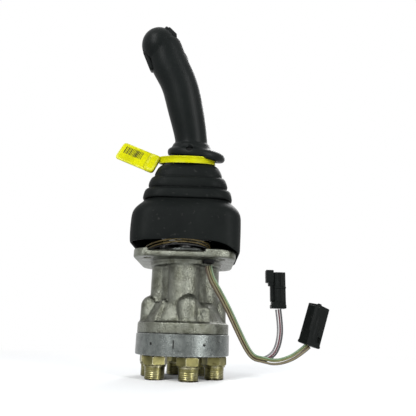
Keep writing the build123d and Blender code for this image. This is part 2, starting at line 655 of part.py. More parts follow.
def grip():
    """Overmoulded handle with a palm lip at its foot and a rounded head."""
    stem = loft([grip_section(k) for k in range(len(GRIP_LINE))])
    lip = loft([lip_section(GRIP_BASE_S + rise, *shape) for rise, *shape in LIP_LINE])
    s, x, radius = GRIP_LINE[-1][0], GRIP_LINE[-1][1], GRIP_HEAD_R
    body = stem + lip + Pos(x, 0, s) * Sphere(radius)
    body -= rod(GRIP_BORE_R, GRIP_BASE_S - 8, LEVER_END_S)
    strap_top = STRAP_S + STRAP_H / 2
    body -= rod(STRAP_R + STRAP_T + STRAP_GAP, STRAP_S - 2 * STRAP_H, strap_top + STRAP_GAP, STRAP_X)
    body -= screw_frame() * Cylinder(RECESS_R, 4 * SCREW_H)
    body -= switch_frame() * Box(BEZEL_L, BEZEL_W, 2 * BEZEL_DEEP)
    body -= TRIGGER_FRAME * Box(TRIGGER_L + 1.2, TRIGGER_W + 0.6, 2 * (TRIGGER_T + TRIGGER_TRAVEL))
    body -= TRIGGER_FRAME * pin_shape(TRIGGER_PIN_R, TRIGGER_W + 3)
    return STICK.location * body


def switch_frame():
    angle = math.radians(SWITCH_ANGLE)
    reach = GRIP_HEAD_R - BEZEL_SINK
    x = GRIP_LINE[-1][1] + reach * math.sin(angle)
    s = GRIP_LINE[-1][0] + reach * math.cos(angle)
    return Pos(x, 0, s) * Rot(0, SWITCH_ANGLE, 0)


def switch_bezel():
    frame = Pos(0, 0, (BEZEL_PROUD - BEZEL_DEEP) / 2) * Box(BEZEL_L, BEZEL_W, BEZEL_DEEP + BEZEL_PROUD)
    frame = chamfer(frame.edges().filter_by(Axis.Z), 2.0)
    frame = chamfer(frame.faces().sort_by(Axis.Z)[-1].edges(), 0.5)
    well = BUTTON_H - BUTTON_PROUD + BUTTON_TRAVEL + 0.2
    cut = Pos(0, 0, BEZEL_PROUD) * Box(BUTTON_L + 0.6, BUTTON_W + 0.6, 2 * well)
    return STICK.location * switch_frame() * (frame - cut)


def thumb_button():
    button = Pos(0, 0, BEZEL_PROUD + BUTTON_PROUD - BUTTON_H / 2) * Box(BUTTON_L, BUTTON_W, BUTTON_H)
    button = fillet(button.edges().filter_by(Axis.Z), 1.5)
    button = chamfer(button.faces().sort_by(Axis.Z)[-1].edges(), 0.9)
    return STICK.location * switch_frame() * button


def pin_shape(radius, length):
    return Pos(TRIGGER_PIN_X, 0, TRIGGER_PIN_Z) * Rot(90, 0, 0) * Cylinder(radius, length)


def trigger():
    """Flush with the handle at its upper end, where it pivots on a pin, and proud at its lower end."""
    pad = Pos(0, 0, -TRIGGER_T / 2) * Box(TRIGGER_L, TRIGGER_W, TRIGGER_T)
    pad = fillet(pad.edges().filter_by(Axis.Z), 3.0)
    pad = fillet(pad.faces().sort_by(Axis.Z)[-1].edges(), 1.4)
    return STICK.location * TRIGGER_FRAME * (pad - pin_shape(TRIGGER_PIN_R + RUNNING, TRIGGER_W + 2))


def trigger_pin():
    return STICK.location * TRIGGER_FRAME * pin_shape(TRIGGER_PIN_R, TRIGGER_W + 3)


def screw_frame():
    """Axis of the screw recess, which leans out of the handle's front."""
    return Pos(0.6, RECESS_Y, GRIP_BASE_S + 10.5) * Rot(RECESS_LEAN, 0, 0)


def grip_screw():
    """Grub screw seen in the recess at the foot of the grip."""
    return STICK.location * screw_frame() * Pos(0, 0, -1.5 * SCREW_H) * Cylinder(SCREW_R, SCREW_H)


# ---------------------------------------------------------------- tag
def tag_strap():
    strap = ring(STRAP_R + STRAP_T, STRAP_R, STRAP_S - STRAP_H / 2, STRAP_S + STRAP_H / 2, STRAP_X, 0)
    return STICK.location * strap


def tag_frame():
    return Pos(*TAG_CENTRE) * Rot(0, TAG_SLOPE, 0) * Rot(-TAG_TIP, 0, 0)


def tag_plate():
    plate = extrude(RectangleRounded(TAG_L, TAG_W, 2.6), TAG_T / 2, both=True)
    head = Pos((TAG_L - TAG_HEAD_L) / 2, 0, 0) * Box(TAG_HEAD_L, TAG_W, TAG_HEAD_T)
    head = fillet(head.edges().filter_by(Axis.Z), 2.4)
    head = chamfer(head.edges().group_by(Axis.Z)[-1], 0.8)
    tag = tag_frame() * Rot(90, 0, 0) * (plate + head)
    return tag - STICK.location * rod(STRAP_R + STRAP_T + 0.1, STRAP_S - TAG_L, STRAP_S + TAG_L, STRAP_X)


# ---------------------------------------------------------------- wiring
def harness_grommet():
    x, y = HARNESS_EXIT
    return rod(GROMMET_R, -UNDER_BOSS_H - GROMMET_LIP, FLANGE_T, x, y)


def loop_grommet():
    return rod(LOOP_GROMMET_R, FLANGE_T, FLANGE_T + LOOP_GROMMET_H, *LOOP_END)


def wire_loop():
    x, y = HARNESS_EXIT
    route = [(x, y, FLANGE_T), (x + 0.6, y - 3.4, 12.0), (13.5, -38.2, 14.2), (-4.0, -41.0, 15.4),
             (-21.0, -37.6, 13.4), (-34.5, -25.0, 11.2), (-39.6, -6.5, 10.4), (-36.0, 14.0, 10.4),
             (-25.5, 29.5, 10.3), (LOOP_END[0] - LOOP_GROMMET_R, LOOP_END[1], 10.2)]
    return tube(route, LOOP_R)


def harness_trunk():
    x, y = HARNESS_EXIT
    route = [(x, y, -UNDER_BOSS_H - GROMMET_LIP), (x + 1.4, y - 0.2, -14.0), (31.0, -26.4, -26.5),
             (40.0, -26.0, -42.0), (49.0, -25.2, -60.5), (57.0, HARNESS_Y, -76.0),
             (63.0, HARNESS_Y, -83.4), SPLIT]
    return tube(route, TRUNK_R)


def harness_lead_a():
    x, y, z = SPLIT
    return tube([(x, y, z + LEAD_B_R), (77.5, y, -82.0), (82.4, y, -77.2), (85.6, y, -68.6),
                 (87.0, y, -56.0), (85.2, y, CONNECTOR_A_Z)], LEAD_A_R)


def harness_lead_b():
    x, y, z = SPLIT
    end = (connector_b_frame() * Pos(0, 0, -CONNECTOR_B_L / 2)).position
    return tube([(x, y, z - LEAD_A_R - 0.05), (80.5, y, -86.6), (91.0, y, -84.6), (101.5, y, -79.6),
                 (end.X, end.Y, end.Z)], LEAD_B_R)


def connector_a_housing():
    """Slim plug housing: base collar, barrel and three long ribs on its front."""
    z = CONNECTOR_A_Z
    base = Pos(CONNECTOR_A_X, HARNESS_Y, z + CONNECTOR_A_BASE / 2) * Box(
        CONNECTOR_A_W, CONNECTOR_A_D, CONNECTOR_A_BASE)
    base = chamfer(base.edges().group_by(Axis.Z)[0], 1.0)
    length = CONNECTOR_A_L - CONNECTOR_A_BASE + 1
    barrel = Pos(CONNECTOR_A_X + 1.4, HARNESS_Y, z + CONNECTOR_A_L - length / 2) * Box(
        CONNECTOR_A_W - 3.4, CONNECTOR_A_D - 1.6, length)
    housing = base + chamfer(barrel.edges().group_by(Axis.Z)[-1], 0.8)
    for x in (-1.6, 1.4, 4.4):
        housing += Pos(CONNECTOR_A_X + x, HARNESS_Y - CONNECTOR_A_D / 2 + 0.3, z + CONNECTOR_A_L / 2) * Box(
            1.0, 1.4, CONNECTOR_A_L - 10)
    return housing


def connector_a_latch():
    """Sprung arm beside the barrel, with a stepped thumb block at its top."""
    z_top = CONNECTOR_A_Z + CONNECTOR_A_L + 1.8
    inner = CONNECTOR_A_X + 1.4 - (CONNECTOR_A_W - 3.4) / 2
    outer = inner - LATCH_T
    arm = block(outer, inner, HARNESS_Y - 3, HARNESS_Y + 3, CONNECTOR_A_Z + CONNECTOR_A_BASE, z_top)
    head = block(outer - LATCH_OUT, inner, HARNESS_Y - 4, HARNESS_Y + 4, z_top - LATCH_HEAD_L, z_top)
    return arm + head


def connector_b_frame():
    return Pos(*CONNECTOR_B_CENTRE) * Rot(0, CONNECTOR_B_TILT, 0) * Rot(0, 0, CONNECTOR_B_TURN)


def connector_b_housing():
    body = Box(CONNECTOR_B_W, CONNECTOR_B_D, CONNECTOR_B_L)
    body = chamfer(body.edges().filter_by(Axis.Z), 1.2)
    body -= Pos(0, 0, CONNECTOR_B_L / 2) * Box(
        CONNECTOR_B_W - 2 * CONNECTOR_B_WALL, CONNECTOR_B_D - 2 * CONNECTOR_B_WALL, 2 * CONNECTOR_B_POCKET)
    body += Pos(0, 0, -CONNECTOR_B_L / 2 + 4) * Box(CONNECTOR_B_W + 1.6, CONNECTOR_B_D + 1.6, 5)
    for x in (-3.2, 3.2):
        body += Pos(x, -CONNECTOR_B_D / 2 - 0.4, 2) * Box(1.2, 1.0, 26)
    return connector_b_frame() * body


def connector_b_pins():
    """Contact pins standing on the floor of the socket."""
    floor = CONNECTOR_B_L / 2 - CONNECTOR_B_POCKET
    pins = []
    for x in (-3.6, 0.0, 3.6):
        for y in (-2.2, 2.2):
            place = connector_b_frame() * Pos(x, y, floor + CONTACT_L / 2)
            pins.append(place * Box(CONTACT_W, CONTACT_W, CONTACT_L))
    return solid_group(pins)


# ---------------------------------------------------------------- export
def all_nodes():
    body = casting()
    nodes = {
        "mounting_flange": body & slab(-UNDER_BOSS_H, FLANGE_T),
        "valve_body": body & slab(DOME_TOP_Z, -UNDER_BOSS_H),
        "body_foot": body & slab(JOINT_Z, DOME_TOP_Z),
        "port_plate": port_plate(), "plate_seal": plate_seal(),
        "dowel_pins": dowel_pins(), "plate_screws": plate_screws(), "fitting_seals": fitting_seals(),
        "top_plate": top_plate(), "top_plate_screws": top_plate_screws(),
        "plunger_guides": plunger_guides(), "plunger_seals": plunger_seals(),
        "spring_seats": spring_seats(), "joint_base": joint_base(), "joint_cross": joint_cross(),
        "upper_yoke": upper_yoke(), "contact_disc": contact_disc(), "lock_nut": lock_nut(),
        "lever_rod": lever_rod(), "boot": boot(), "grip": grip(), "switch_bezel": switch_bezel(),
        "thumb_button": thumb_button(), "trigger": trigger(), "trigger_pin": trigger_pin(),
        "grip_screw": grip_screw(), "tag_strap": tag_strap(), "tag_plate": tag_plate(),
        "harness_grommet": harness_grommet(), "loop_grommet": loop_grommet(), "wire_loop": wire_loop(),
        "harness_trunk": harness_trunk(), "harness_lead_a": harness_lead_a(),
        "harness_lead_b": harness_lead_b(), "connector_a_housing": connector_a_housing(),
        "connector_a_latch": connector_a_latch(), "connector_b_housing": connector_b_housing(),
        "connector_b_pins": connector_b_pins(),
    }
    for number, (x, y) in enumerate(port_places(), start=1):
        nodes[f"port_fitting_{number}"] = port_fitting(x, y)
    for side, degrees in SIDES.items():
        nodes[f"plunger_{side}"] = plunger(degrees)
        nodes[f"spool_{side}"] = spool(degrees)
        nodes[f"return_spring_{side}"] = return_spring(degrees)
    return nodes


os.makedirs("parts", exist_ok=True)
for name, shape in all_nodes().items():
    export_step(shape, f"parts/{name}.step")
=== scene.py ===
# %% [markdown]
# # Dressing a hydraulic pilot joystick valve
# The construction model already has every working piece at its real size.  This file gives each
# visible piece its finish, and makes the soft or cast shapes as meshes of their own.
# It starts with the frame, because every later piece rides on one of its moving bodies.

# %% Load the frame
import math

import bmesh
import bpy
from mathutils import Matrix, Vector, noise


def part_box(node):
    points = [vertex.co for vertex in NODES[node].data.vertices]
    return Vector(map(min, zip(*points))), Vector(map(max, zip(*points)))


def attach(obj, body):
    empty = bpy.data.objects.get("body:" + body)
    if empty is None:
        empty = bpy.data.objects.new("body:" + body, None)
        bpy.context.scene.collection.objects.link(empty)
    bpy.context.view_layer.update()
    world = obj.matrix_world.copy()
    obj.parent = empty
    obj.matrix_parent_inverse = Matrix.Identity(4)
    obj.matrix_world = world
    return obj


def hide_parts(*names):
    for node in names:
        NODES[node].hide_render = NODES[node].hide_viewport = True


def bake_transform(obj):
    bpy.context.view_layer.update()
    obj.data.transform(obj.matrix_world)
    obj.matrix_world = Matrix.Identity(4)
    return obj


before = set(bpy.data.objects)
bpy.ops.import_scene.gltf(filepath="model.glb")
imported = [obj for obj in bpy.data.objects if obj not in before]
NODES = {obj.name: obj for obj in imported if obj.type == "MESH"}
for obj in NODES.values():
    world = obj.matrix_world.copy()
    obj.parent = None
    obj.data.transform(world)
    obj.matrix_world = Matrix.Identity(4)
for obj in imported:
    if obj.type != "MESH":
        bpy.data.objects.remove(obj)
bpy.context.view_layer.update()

MM = 0.001

# %% [markdown]
# ## Sizes read from the frame
# A dressed piece has to sit where its solid sits, so levels and centres come from the boxes of
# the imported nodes.  The lever is cranked towards -Y above the joint, and everything on it is drawn
# in the lever's own axes: x sideways, y towards the back, s along the lever from the crank.

# %% Levels and the lever's axes
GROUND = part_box("port_fitting_1")[0][2]
PLATE_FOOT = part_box("port_plate")[0][2]
PLATE_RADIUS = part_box("port_plate")[1][0]
CRANK_LEVEL = 54 * MM
CANT = math.radians(18)

LEVER_AXES = Matrix(((1, 0, 0, 0),
                     (0, math.cos(CANT), -math.sin(CANT), 0),
                     (0, math.sin(CANT), math.cos(CANT), CRANK_LEVEL),
                     (0, 0, 0, 1)))


def on_lever(x, y, s):
    """A point given in millimetres on the lever's axes, in the row frame in metres."""
    return LEVER_AXES @ Vector((x * MM, y * MM, s * MM))


print("port plate foot", round(PLATE_FOOT, 4), "ground", round(GROUND, 4))

# %% [markdown]
# ## Camera
# The view is level with the lower body and pitched up, from close by, so that verticals lean
# together towards the top.  The camera stands 410 mm away, a little right of the valve's axis.

# %% Camera
CAMERA_AT = Vector((20.0, -410.5, -62.3)) * MM
PITCH_UP = math.radians(16.34)
ROLL = math.radians(1.68)
FOCAL = 36.43
SENSOR = 36.0
NEAREST = 0.01

right = Vector((1, 0, 0))
forward = Vector((0, math.cos(PITCH_UP), math.sin(PITCH_UP)))
up = Vector((0, -math.sin(PITCH_UP), math.cos(PITCH_UP)))
cam_right = right * math.cos(ROLL) + up * math.sin(ROLL)
cam_up = up * math.cos(ROLL) - right * math.sin(ROLL)
camera_data = bpy.data.cameras.new("camera")
camera_data.lens = FOCAL
camera_data.sensor_width = SENSOR
camera_data.clip_start = NEAREST
camera = bpy.data.objects.new("camera", camera_data)
bpy.context.scene.collection.objects.link(camera)
turn = Matrix((cam_right, cam_up, -forward)).transposed().to_4x4()
camera.matrix_world = Matrix.Translation(CAMERA_AT) @ turn
bpy.context.scene.camera = camera
bpy.context.scene.view_settings.view_transform = "Standard"
print("camera", [round(c, 3) for c in CAMERA_AT])

# %% [markdown]
# ## Small mesh helpers
# Most shapes below are rings of points that are joined into a skin.  Where the rings are round, the
# skin is a profile turned about an upright line.  The other helpers place, cut and change a piece.

# %% Helpers for meshes
DOUBLES = 1e-6


def shift(x, y, z):
    """Translation given in millimetres."""
    return Matrix.Translation(Vector((x, y, z)) * MM)


def turn_about(axis, degrees):
    return Matrix.Rotation(math.radians(degrees), 4, axis)


def linked(name, data):
    """A new object with that data, in the scene."""
    made = bpy.data.objects.new(name, data)
    bpy.context.scene.collection.objects.link(made)
    return made


def shade(piece, smooth=True):
    for polygon in piece.data.polygons:
        polygon.use_smooth = smooth
    return piece


def mesh_object(name, points, faces, smooth=True):
    mesh = bpy.data.meshes.new(name)
    mesh.from_pydata([tuple(p) for p in points], [], faces)
    mesh.validate()
    return shade(linked(name, mesh), smooth)


def from_bmesh(name, work):
    """A new object from a bmesh, which is freed."""
    mesh = bpy.data.meshes.new(name)
    work.to_mesh(mesh)
    work.free()
    return linked(name, mesh)


def skin(name, rings, cap_start=True, cap_end=True):
    """Joins rings of equal length with quads, and closes the ends with a fan to their centre."""
    count = len(rings[0])
    points = [p for ring in rings for p in ring]
    faces = []
    for row in range(len(rings) - 1):
        for k in range(count):
            a, b = row * count + k, row * count + (k + 1) % count
            faces.append((a, b, b + count, a + count))
    for wanted, row in ((cap_start, 0), (cap_end, len(rings) - 1)):
        if wanted:
            centre = len(points)
            points.append(sum((Vector(p) for p in rings[row]), Vector()) / count)
            for k in range(count):
                a, b = row * count + k, row * count + (k + 1) % count
                faces.append((b, a, centre) if row == 0 else (a, b, centre))
    return outward(mesh_object(name, points, faces))


def outward(piece):
    """Merges doubles and turns every face outwards."""
    work = bmesh.new()
    work.from_mesh(piece.data)
    bmesh.ops.remove_doubles(work, verts=work.verts, dist=DOUBLES)
    bmesh.ops.recalc_face_normals(work, faces=work.faces)
    work.to_mesh(piece.data)
    work.free()
    return piece


def turned_ring(radius_at, level, segments, centre=(0, 0)):
    """Ring about an upright line, in metres; radius_at gives the radius at each angle."""
    ring = []
    for k in range(segments):
        angle = 2 * math.pi * k / segments
        radius = radius_at(angle)
        ring.append(Vector((centre[0] + radius * math.cos(angle),
                            centre[1] + radius * math.sin(angle), level)))
    return ring


def lathe(name, profile, segments, centre=(0, 0), capped=True):
    """Turns (radius, level) points in millimetres about an upright line."""
    middle = (centre[0] * MM, centre[1] * MM)
    rings = [turned_ring(lambda angle: radius * MM, level * MM, segments, middle)
             for radius, level in profile]
    return skin(name, rings, capped, capped)


def moved(piece, place):
    """Puts a 4x4 place into the mesh, so that the object itself stays at the origin."""
    piece.data.transform(place)
    return outward(piece)


def apply_modifiers(piece):
    """Replaces a piece's mesh by its evaluated one, and clears its modifiers."""
    bpy.context.view_layer.update()
    evaluated = piece.evaluated_get(bpy.context.evaluated_depsgraph_get())
    mesh = bpy.data.meshes.new_from_object(evaluated)
    mesh.name = piece.name
    piece.modifiers.clear()
    piece.data = mesh
    return piece


def modified(piece, kind, **settings):
    """Runs one modifier on a piece and keeps its result."""
    modifier = piece.modifiers.new(kind.lower(), kind)
    for key, value in settings.items():
        setattr(modifier, key, value)
    return apply_modifiers(piece)


def cut_away(piece, cutter):
    """Boolean difference; the cutter is removed."""
    made = modified(piece, "BOOLEAN", operation="DIFFERENCE", solver="EXACT", object=cutter)
    bpy.data.objects.remove(cutter)
    return made


def box_mesh(name, size, place, bevel, steps=2):
    """Box of a size in millimetres under a 4x4 place, with rounded edges."""
    work = bmesh.new()
    bmesh.ops.create_cube(work, size=1.0)
    bmesh.ops.scale(work, vec=Vector(size) * MM, verts=work.verts)
    bmesh.ops.bevel(work, geom=work.edges[:], offset=bevel * MM, segments=steps, profile=0.5,
                    affect="EDGES")
    bmesh.ops.transform(work, matrix=place, verts=work.verts)
    return outward(from_bmesh(name, work))


# %% [markdown]
# ## Shared effects as node groups
# Real finishes share a few effects: a fine grain, wear where edges rub, and dust or oil stains, and shade is
# painted into crevices.
# Each is one node group with named inputs, so that every material sets its own amounts.

# %% Helpers for node groups and materials
COARSE_TO_FINE = 0.22
EDGE_BAND, RUBBED_BAND = (0.995, 0.86), (0.38, 0.6)
PATCH_BAND, SPECK_BAND, HOLLOW_BAND = (0.35, 0.7), (0.66, 0.74), (0.95, 0.35)


def new_group(name, inputs, outputs):
    """A shader group of plain numbers; an input without a value is a vector."""
    group = bpy.data.node_groups.new(name, "ShaderNodeTree")
    for label, value in inputs.items():
        kind = "NodeSocketVector" if value is None else "NodeSocketFloat"
        socket = group.interface.new_socket(label, in_out="INPUT", socket_type=kind)
        if value is not None:
            socket.default_value = value
    for label in outputs:
        group.interface.new_socket(label, in_out="OUTPUT", socket_type="NodeSocketFloat")
    return group, group.nodes.new("NodeGroupInput").outputs, group.nodes.new("NodeGroupOutput").inputs


def node(tree, kind, values=None, links=None, **settings):
    """Adds a node, sets its socket values and links other sockets into it."""
    made = tree.nodes.new(kind)
    for key, value in settings.items():
        setattr(made, key, value)
    for key, value in (values or {}).items():
        made.inputs[key].default_value = value
    for key, source in (links or {}).items():
        tree.links.new(source, made.inputs[key])
    return made


def feed(tree, socket, value):
    """Sets a socket to a number or a colour, or links another socket into it."""
    if isinstance(value, (int, float)):
        socket.default_value = value
    elif isinstance(value, tuple):
        socket.default_value = (*value, 1.0)
    else:
        tree.links.new(value, socket)


def math_node(tree, operation, first, second=0.5):
    made = node(tree, "ShaderNodeMath", operation=operation)
    feed(tree, made.inputs[0], first)
    feed(tree, made.inputs[1], second)
    return made.outputs[0]


def ramp(tree, source, low, high, first=0.0, last=1.0):
    """Maps a value from low..high to first..last, held at the ends."""
    made = node(tree, "ShaderNodeMapRange", {"From Min": low, "From Max": high, "To Min": first,
                                             "To Max": last}, {"Value": source}, clamp=True)
    return made.outputs["Result"]


def blend_colours(tree, factor, first, second):
    made = node(tree, "ShaderNodeMix", data_type="RGBA")
    for index, value in ((0, factor), (6, first), (7, second)):
        feed(tree, made.inputs[index], value)
    return made.outputs[2]


def noise_of(group, inside, scale, values):
    return node(group, "ShaderNodeTexNoise", values, {"Vector": inside["Vector"],
                                                      "Scale": scale}).outputs[0]


# %% Grain: two sizes of noise for rubber, castings and moulded plastic
def make_grain():
    group, inside, out = new_group("grain", {"Vector": None, "Scale": 400.0, "Coarse Share": 0.35},
                                   ["Height"])
    coarse_scale = math_node(group, "MULTIPLY", inside["Scale"], COARSE_TO_FINE)
    fine = noise_of(group, inside, inside["Scale"], {"Detail": 3.0, "Roughness": 0.65})
    coarse = noise_of(group, inside, coarse_scale, {"Detail": 2.0})
    weighted = math_node(group, "MULTIPLY", coarse, inside["Coarse Share"])
    group.links.new(math_node(group, "ADD", fine, weighted), out["Height"])
    return group


# %% Edge wear: bright rubbed edges, found by comparing rounded and true normals
def make_edge_wear():
    group, inside, out = new_group("edge wear", {"Vector": None, "Width": 0.0008, "Break Up": 160.0},
                                   ["Mask"])
    rounded = node(group, "ShaderNodeBevel", {}, {"Radius": inside["Width"]}, samples=4)
    flat = group.nodes.new("ShaderNodeNewGeometry")
    same = node(group, "ShaderNodeVectorMath", {}, {0: rounded.outputs[0], 1: flat.outputs["Normal"]},
                operation="DOT_PRODUCT")
    edge = ramp(group, same.outputs["Value"], *EDGE_BAND)
    broken = ramp(group, noise_of(group, inside, inside["Break Up"], {"Detail": 4.0}), *RUBBED_BAND)
    group.links.new(math_node(group, "MULTIPLY", edge, broken), out["Mask"])
    return group


# %% Stains: soft large patches with a few darker specks
def make_stains():
    group, inside, out = new_group("stains", {"Vector": None, "Patch Scale": 30.0,
                                              "Speck Scale": 260.0}, ["Patches", "Specks"])
    patches = noise_of(group, inside, inside["Patch Scale"],
                       {"Detail": 5.0, "Roughness": 0.6, "Distortion": 0.4})
    specks = noise_of(group, inside, inside["Speck Scale"], {"Detail": 2.0})
    group.links.new(ramp(group, patches, *PATCH_BAND), out["Patches"])
    group.links.new(ramp(group, specks, *SPECK_BAND), out["Specks"])
    return group


# %% Painted crevice shade: dark where a surface lies close to another one
def make_painted_crevice_shade():
    # Painted shade: ambient occlusion darkens the colour where surfaces lie close together.
    group, inside, out = new_group("crevice dirt", {"Reach": 0.006}, ["Mask"])
    open_sky = node(group, "ShaderNodeAmbientOcclusion", {}, {"Distance": inside["Reach"]}, samples=6)
    group.links.new(ramp(group, open_sky.outputs["AO"], *HOLLOW_BAND), out["Mask"])
    return group


GRAIN = make_grain()
PAINTED_CREVICE_SHADE = make_painted_crevice_shade()
EDGE_WEAR = make_edge_wear()
STAINS = make_stains()
print("node groups:", [g.name for g in (GRAIN, EDGE_WEAR, STAINS, PAINTED_CREVICE_SHADE)])


# %% [markdown]
# ## Materials
# Every finish is built by one recipe: a base colour broken up by patches and specks, shade painted into
# crevices where a material asks for it, worn edges in a second colour, and a grain that drives a Bump
# node.  A material is then one line of values.
# Metals are fully metallic, or nearly so where dirt dulls them; rubber and plastic differ in
# roughness and in the size of the grain.

# %% The common recipe
SPECK_SCALE = 300.0
GRAIN_BAND = (0.3, 1.0)


def new_material(name):
    """A material with its tree, its shader and the object's own coordinates."""
    material = bpy.data.materials.new(name)
    material.use_nodes = True
    tree = material.node_tree
    where = tree.nodes.new("ShaderNodeTexCoord").outputs["Object"]
    return material, tree, tree.nodes["Principled BSDF"], where


def place_group(tree, group, vector, values):
    made = tree.nodes.new("ShaderNodeGroup")
    made.node_tree = group
    tree.links.new(vector, made.inputs["Vector"])
    for key, value in values.items():
        made.inputs[key].default_value = value
    return made


def finish(name, base, patch, worn, rough=(0.4, 0.6), metallic=0.0, grain_scale=500.0, bump=0.1,
           wear_width=0.0006, wear=0.5, patch_scale=30.0, speck=(0.02, 0.02, 0.02), speck_share=0.3,
           bump_distance=0.0004, specular=0.5, dirt=0.0, crevice_shade_colour=(0.02, 0.018, 0.013)):
    material, tree, shader, where = new_material(name)
    stains = place_group(tree, STAINS, where, {"Patch Scale": patch_scale, "Speck Scale": SPECK_SCALE})
    edges = place_group(tree, EDGE_WEAR, where, {"Width": wear_width})
    grain = place_group(tree, GRAIN, where, {"Scale": grain_scale})
    colour = blend_colours(tree, stains.outputs["Patches"], base, patch)
    specks = math_node(tree, "MULTIPLY", stains.outputs["Specks"], speck_share)
    colour = blend_colours(tree, specks, colour, speck)
    # Painted shade: the occlusion mask darkens the colour in crevices and between parts, towards a dark
    # shade colour.
    if dirt:
        shaded_hollow = tree.nodes.new("ShaderNodeGroup")
        shaded_hollow.node_tree = PAINTED_CREVICE_SHADE
        colour = blend_colours(tree, math_node(tree, "MULTIPLY", shaded_hollow.outputs["Mask"], dirt), colour,
                               crevice_shade_colour)
    mask = math_node(tree, "MULTIPLY", edges.outputs["Mask"], wear)
    colour = blend_colours(tree, mask, colour, worn)
    tree.links.new(colour, shader.inputs["Base Color"])
    roughness = ramp(tree, grain.outputs["Height"], *GRAIN_BAND, *rough)
    tree.links.new(roughness, shader.inputs["Roughness"])
    relief = node(tree, "ShaderNodeBump", {"Strength": bump, "Distance": bump_distance},
                  {"Height": grain.outputs["Height"]})
    tree.links.new(relief.outputs[0], shader.inputs["Normal"])
    shader.inputs["Metallic"].default_value = metallic
    shader.inputs["Specular IOR Level"].default_value = specular
    return material


# %% Metals
# The crevice amount and colour in these finishes paint shade into crevices and between parts.
CAST = finish("cast aluminium", (0.165, 0.172, 0.145), (0.062, 0.064, 0.046), (0.55, 0.56, 0.5),
    rough=(0.2, 0.42), metallic=0.92, grain_scale=560.0, bump=1.0, wear_width=0.0012, wear=0.85,
    patch_scale=90.0, speck=(0.024, 0.02, 0.014), speck_share=0.7, dirt=0.9, specular=0.3,
    bump_distance=0.0007)
MACHINED = finish("machined aluminium", (0.15, 0.163, 0.155), (0.075, 0.083, 0.08), (0.55, 0.57, 0.55),
    rough=(0.2, 0.38), metallic=0.92, grain_scale=800.0, bump=0.45, wear_width=0.0008, wear=0.7,
    patch_scale=160.0, speck=(0.42, 0.44, 0.42), speck_share=0.45, dirt=0.75, specular=0.3)
STEEL = finish("ground steel", (0.36, 0.36, 0.35), (0.24, 0.24, 0.24), (0.6, 0.6, 0.6), rough=(0.22, 0.36),
    metallic=1.0, grain_scale=1800.0, bump=0.06, wear_width=0.0003)
SPRING_STEEL = finish("oiled spring steel", (0.16, 0.16, 0.16), (0.1, 0.1, 0.1), (0.35, 0.35, 0.35),
    rough=(0.25, 0.4), metallic=1.0, grain_scale=1800.0, bump=0.05, wear_width=0.0002)
PLATED = finish("yellow zinc plating", (0.24, 0.22, 0.09), (0.075, 0.07, 0.03), (0.75, 0.72, 0.54),
    rough=(0.24, 0.4), metallic=1.0, grain_scale=500.0, bump=0.08, wear_width=0.0008, wear=0.9,
    patch_scale=90.0, speck=(0.04, 0.025, 0.01), speck_share=0.6, dirt=1.0,
    crevice_shade_colour=(0.018, 0.013, 0.004))
TIN = finish("tinned contact", (0.45, 0.45, 0.42), (0.35, 0.35, 0.32), (0.7, 0.7, 0.7), rough=(0.2, 0.3),
    metallic=1.0, grain_scale=1500.0, bump=0.03, wear_width=0.0001)

# %% Rubber and plastic
# The crevice amount and colour in these finishes paint shade into crevices and between parts.
BOOT = finish("boot rubber", (0.0034, 0.0044, 0.0042), (0.0062, 0.0074, 0.007), (0.02, 0.022, 0.021),
    rough=(0.4, 0.6), grain_scale=600.0, bump=0.16, wear_width=0.0016, wear=0.3, patch_scale=26.0,
    speck=(0.05, 0.05, 0.047), speck_share=0.25, specular=0.05, dirt=0.85,
    crevice_shade_colour=(0.0006, 0.0007, 0.0007))
GRIP = finish("grip rubber", (0.0036, 0.0048, 0.0046), (0.0056, 0.007, 0.0067), (0.018, 0.02, 0.019),
    rough=(0.3, 0.46), grain_scale=1300.0, bump=0.22, wear_width=0.0012, wear=0.2, patch_scale=20.0,
    speck=(0.02, 0.021, 0.02), speck_share=0.2, specular=0.075, dirt=0.6,
    crevice_shade_colour=(0.0012, 0.0013, 0.0013))
SEAL = finish("seal rubber", (0.006, 0.006, 0.006), (0.01, 0.01, 0.01), (0.02, 0.02, 0.02),
    rough=(0.5, 0.65), grain_scale=900.0, bump=0.08, wear_width=0.0003, specular=0.12)
SWITCH = finish("switch plastic", (0.004, 0.005, 0.005), (0.007, 0.008, 0.008), (0.05, 0.052, 0.052),
    rough=(0.3, 0.46), grain_scale=1600.0, bump=0.06, wear_width=0.0005, wear=0.35, specular=0.08)
PLUG = finish("connector plastic", (0.0034, 0.0044, 0.004), (0.006, 0.007, 0.0066), (0.03, 0.034, 0.032),
    rough=(0.32, 0.46), grain_scale=1200.0, bump=0.1, wear_width=0.0005, wear=0.55, patch_scale=60.0,
    speck=(0.05, 0.05, 0.046), speck_share=0.25, specular=0.06, dirt=0.7,
    crevice_shade_colour=(0.0015, 0.0016, 0.0016))
YELLOW = finish("yellow tag plastic", (0.42, 0.42, 0.0), (0.32, 0.32, 0.0), (0.72, 0.72, 0.16),
    rough=(0.36, 0.5), grain_scale=900.0, bump=0.05, wear_width=0.0009, wear=0.8, patch_scale=50.0,
    speck=(0.2, 0.17, 0.01), speck_share=0.3, specular=0.06, dirt=0.6, crevice_shade_colour=(0.18, 0.16, 0.002))
INK = finish("tag print", (0.018, 0.018, 0.006), (0.04, 0.038, 0.008), (0.06, 0.055, 0.01),
    rough=(0.5, 0.6), grain_scale=900.0, bump=0.02, wear_width=0.0001, wear=0.2, specular=0.1)


# %% [markdown]
# ## Floor and light
# A pale floor and a white surround keep the picture plain.  The floor shows the shadow near the
# object and fades to plain white further out, so that no horizon line is seen.

# %% Floor
FLOOR_HALF = 3.0
FADE_START = 0.16
FADE_END = 0.55


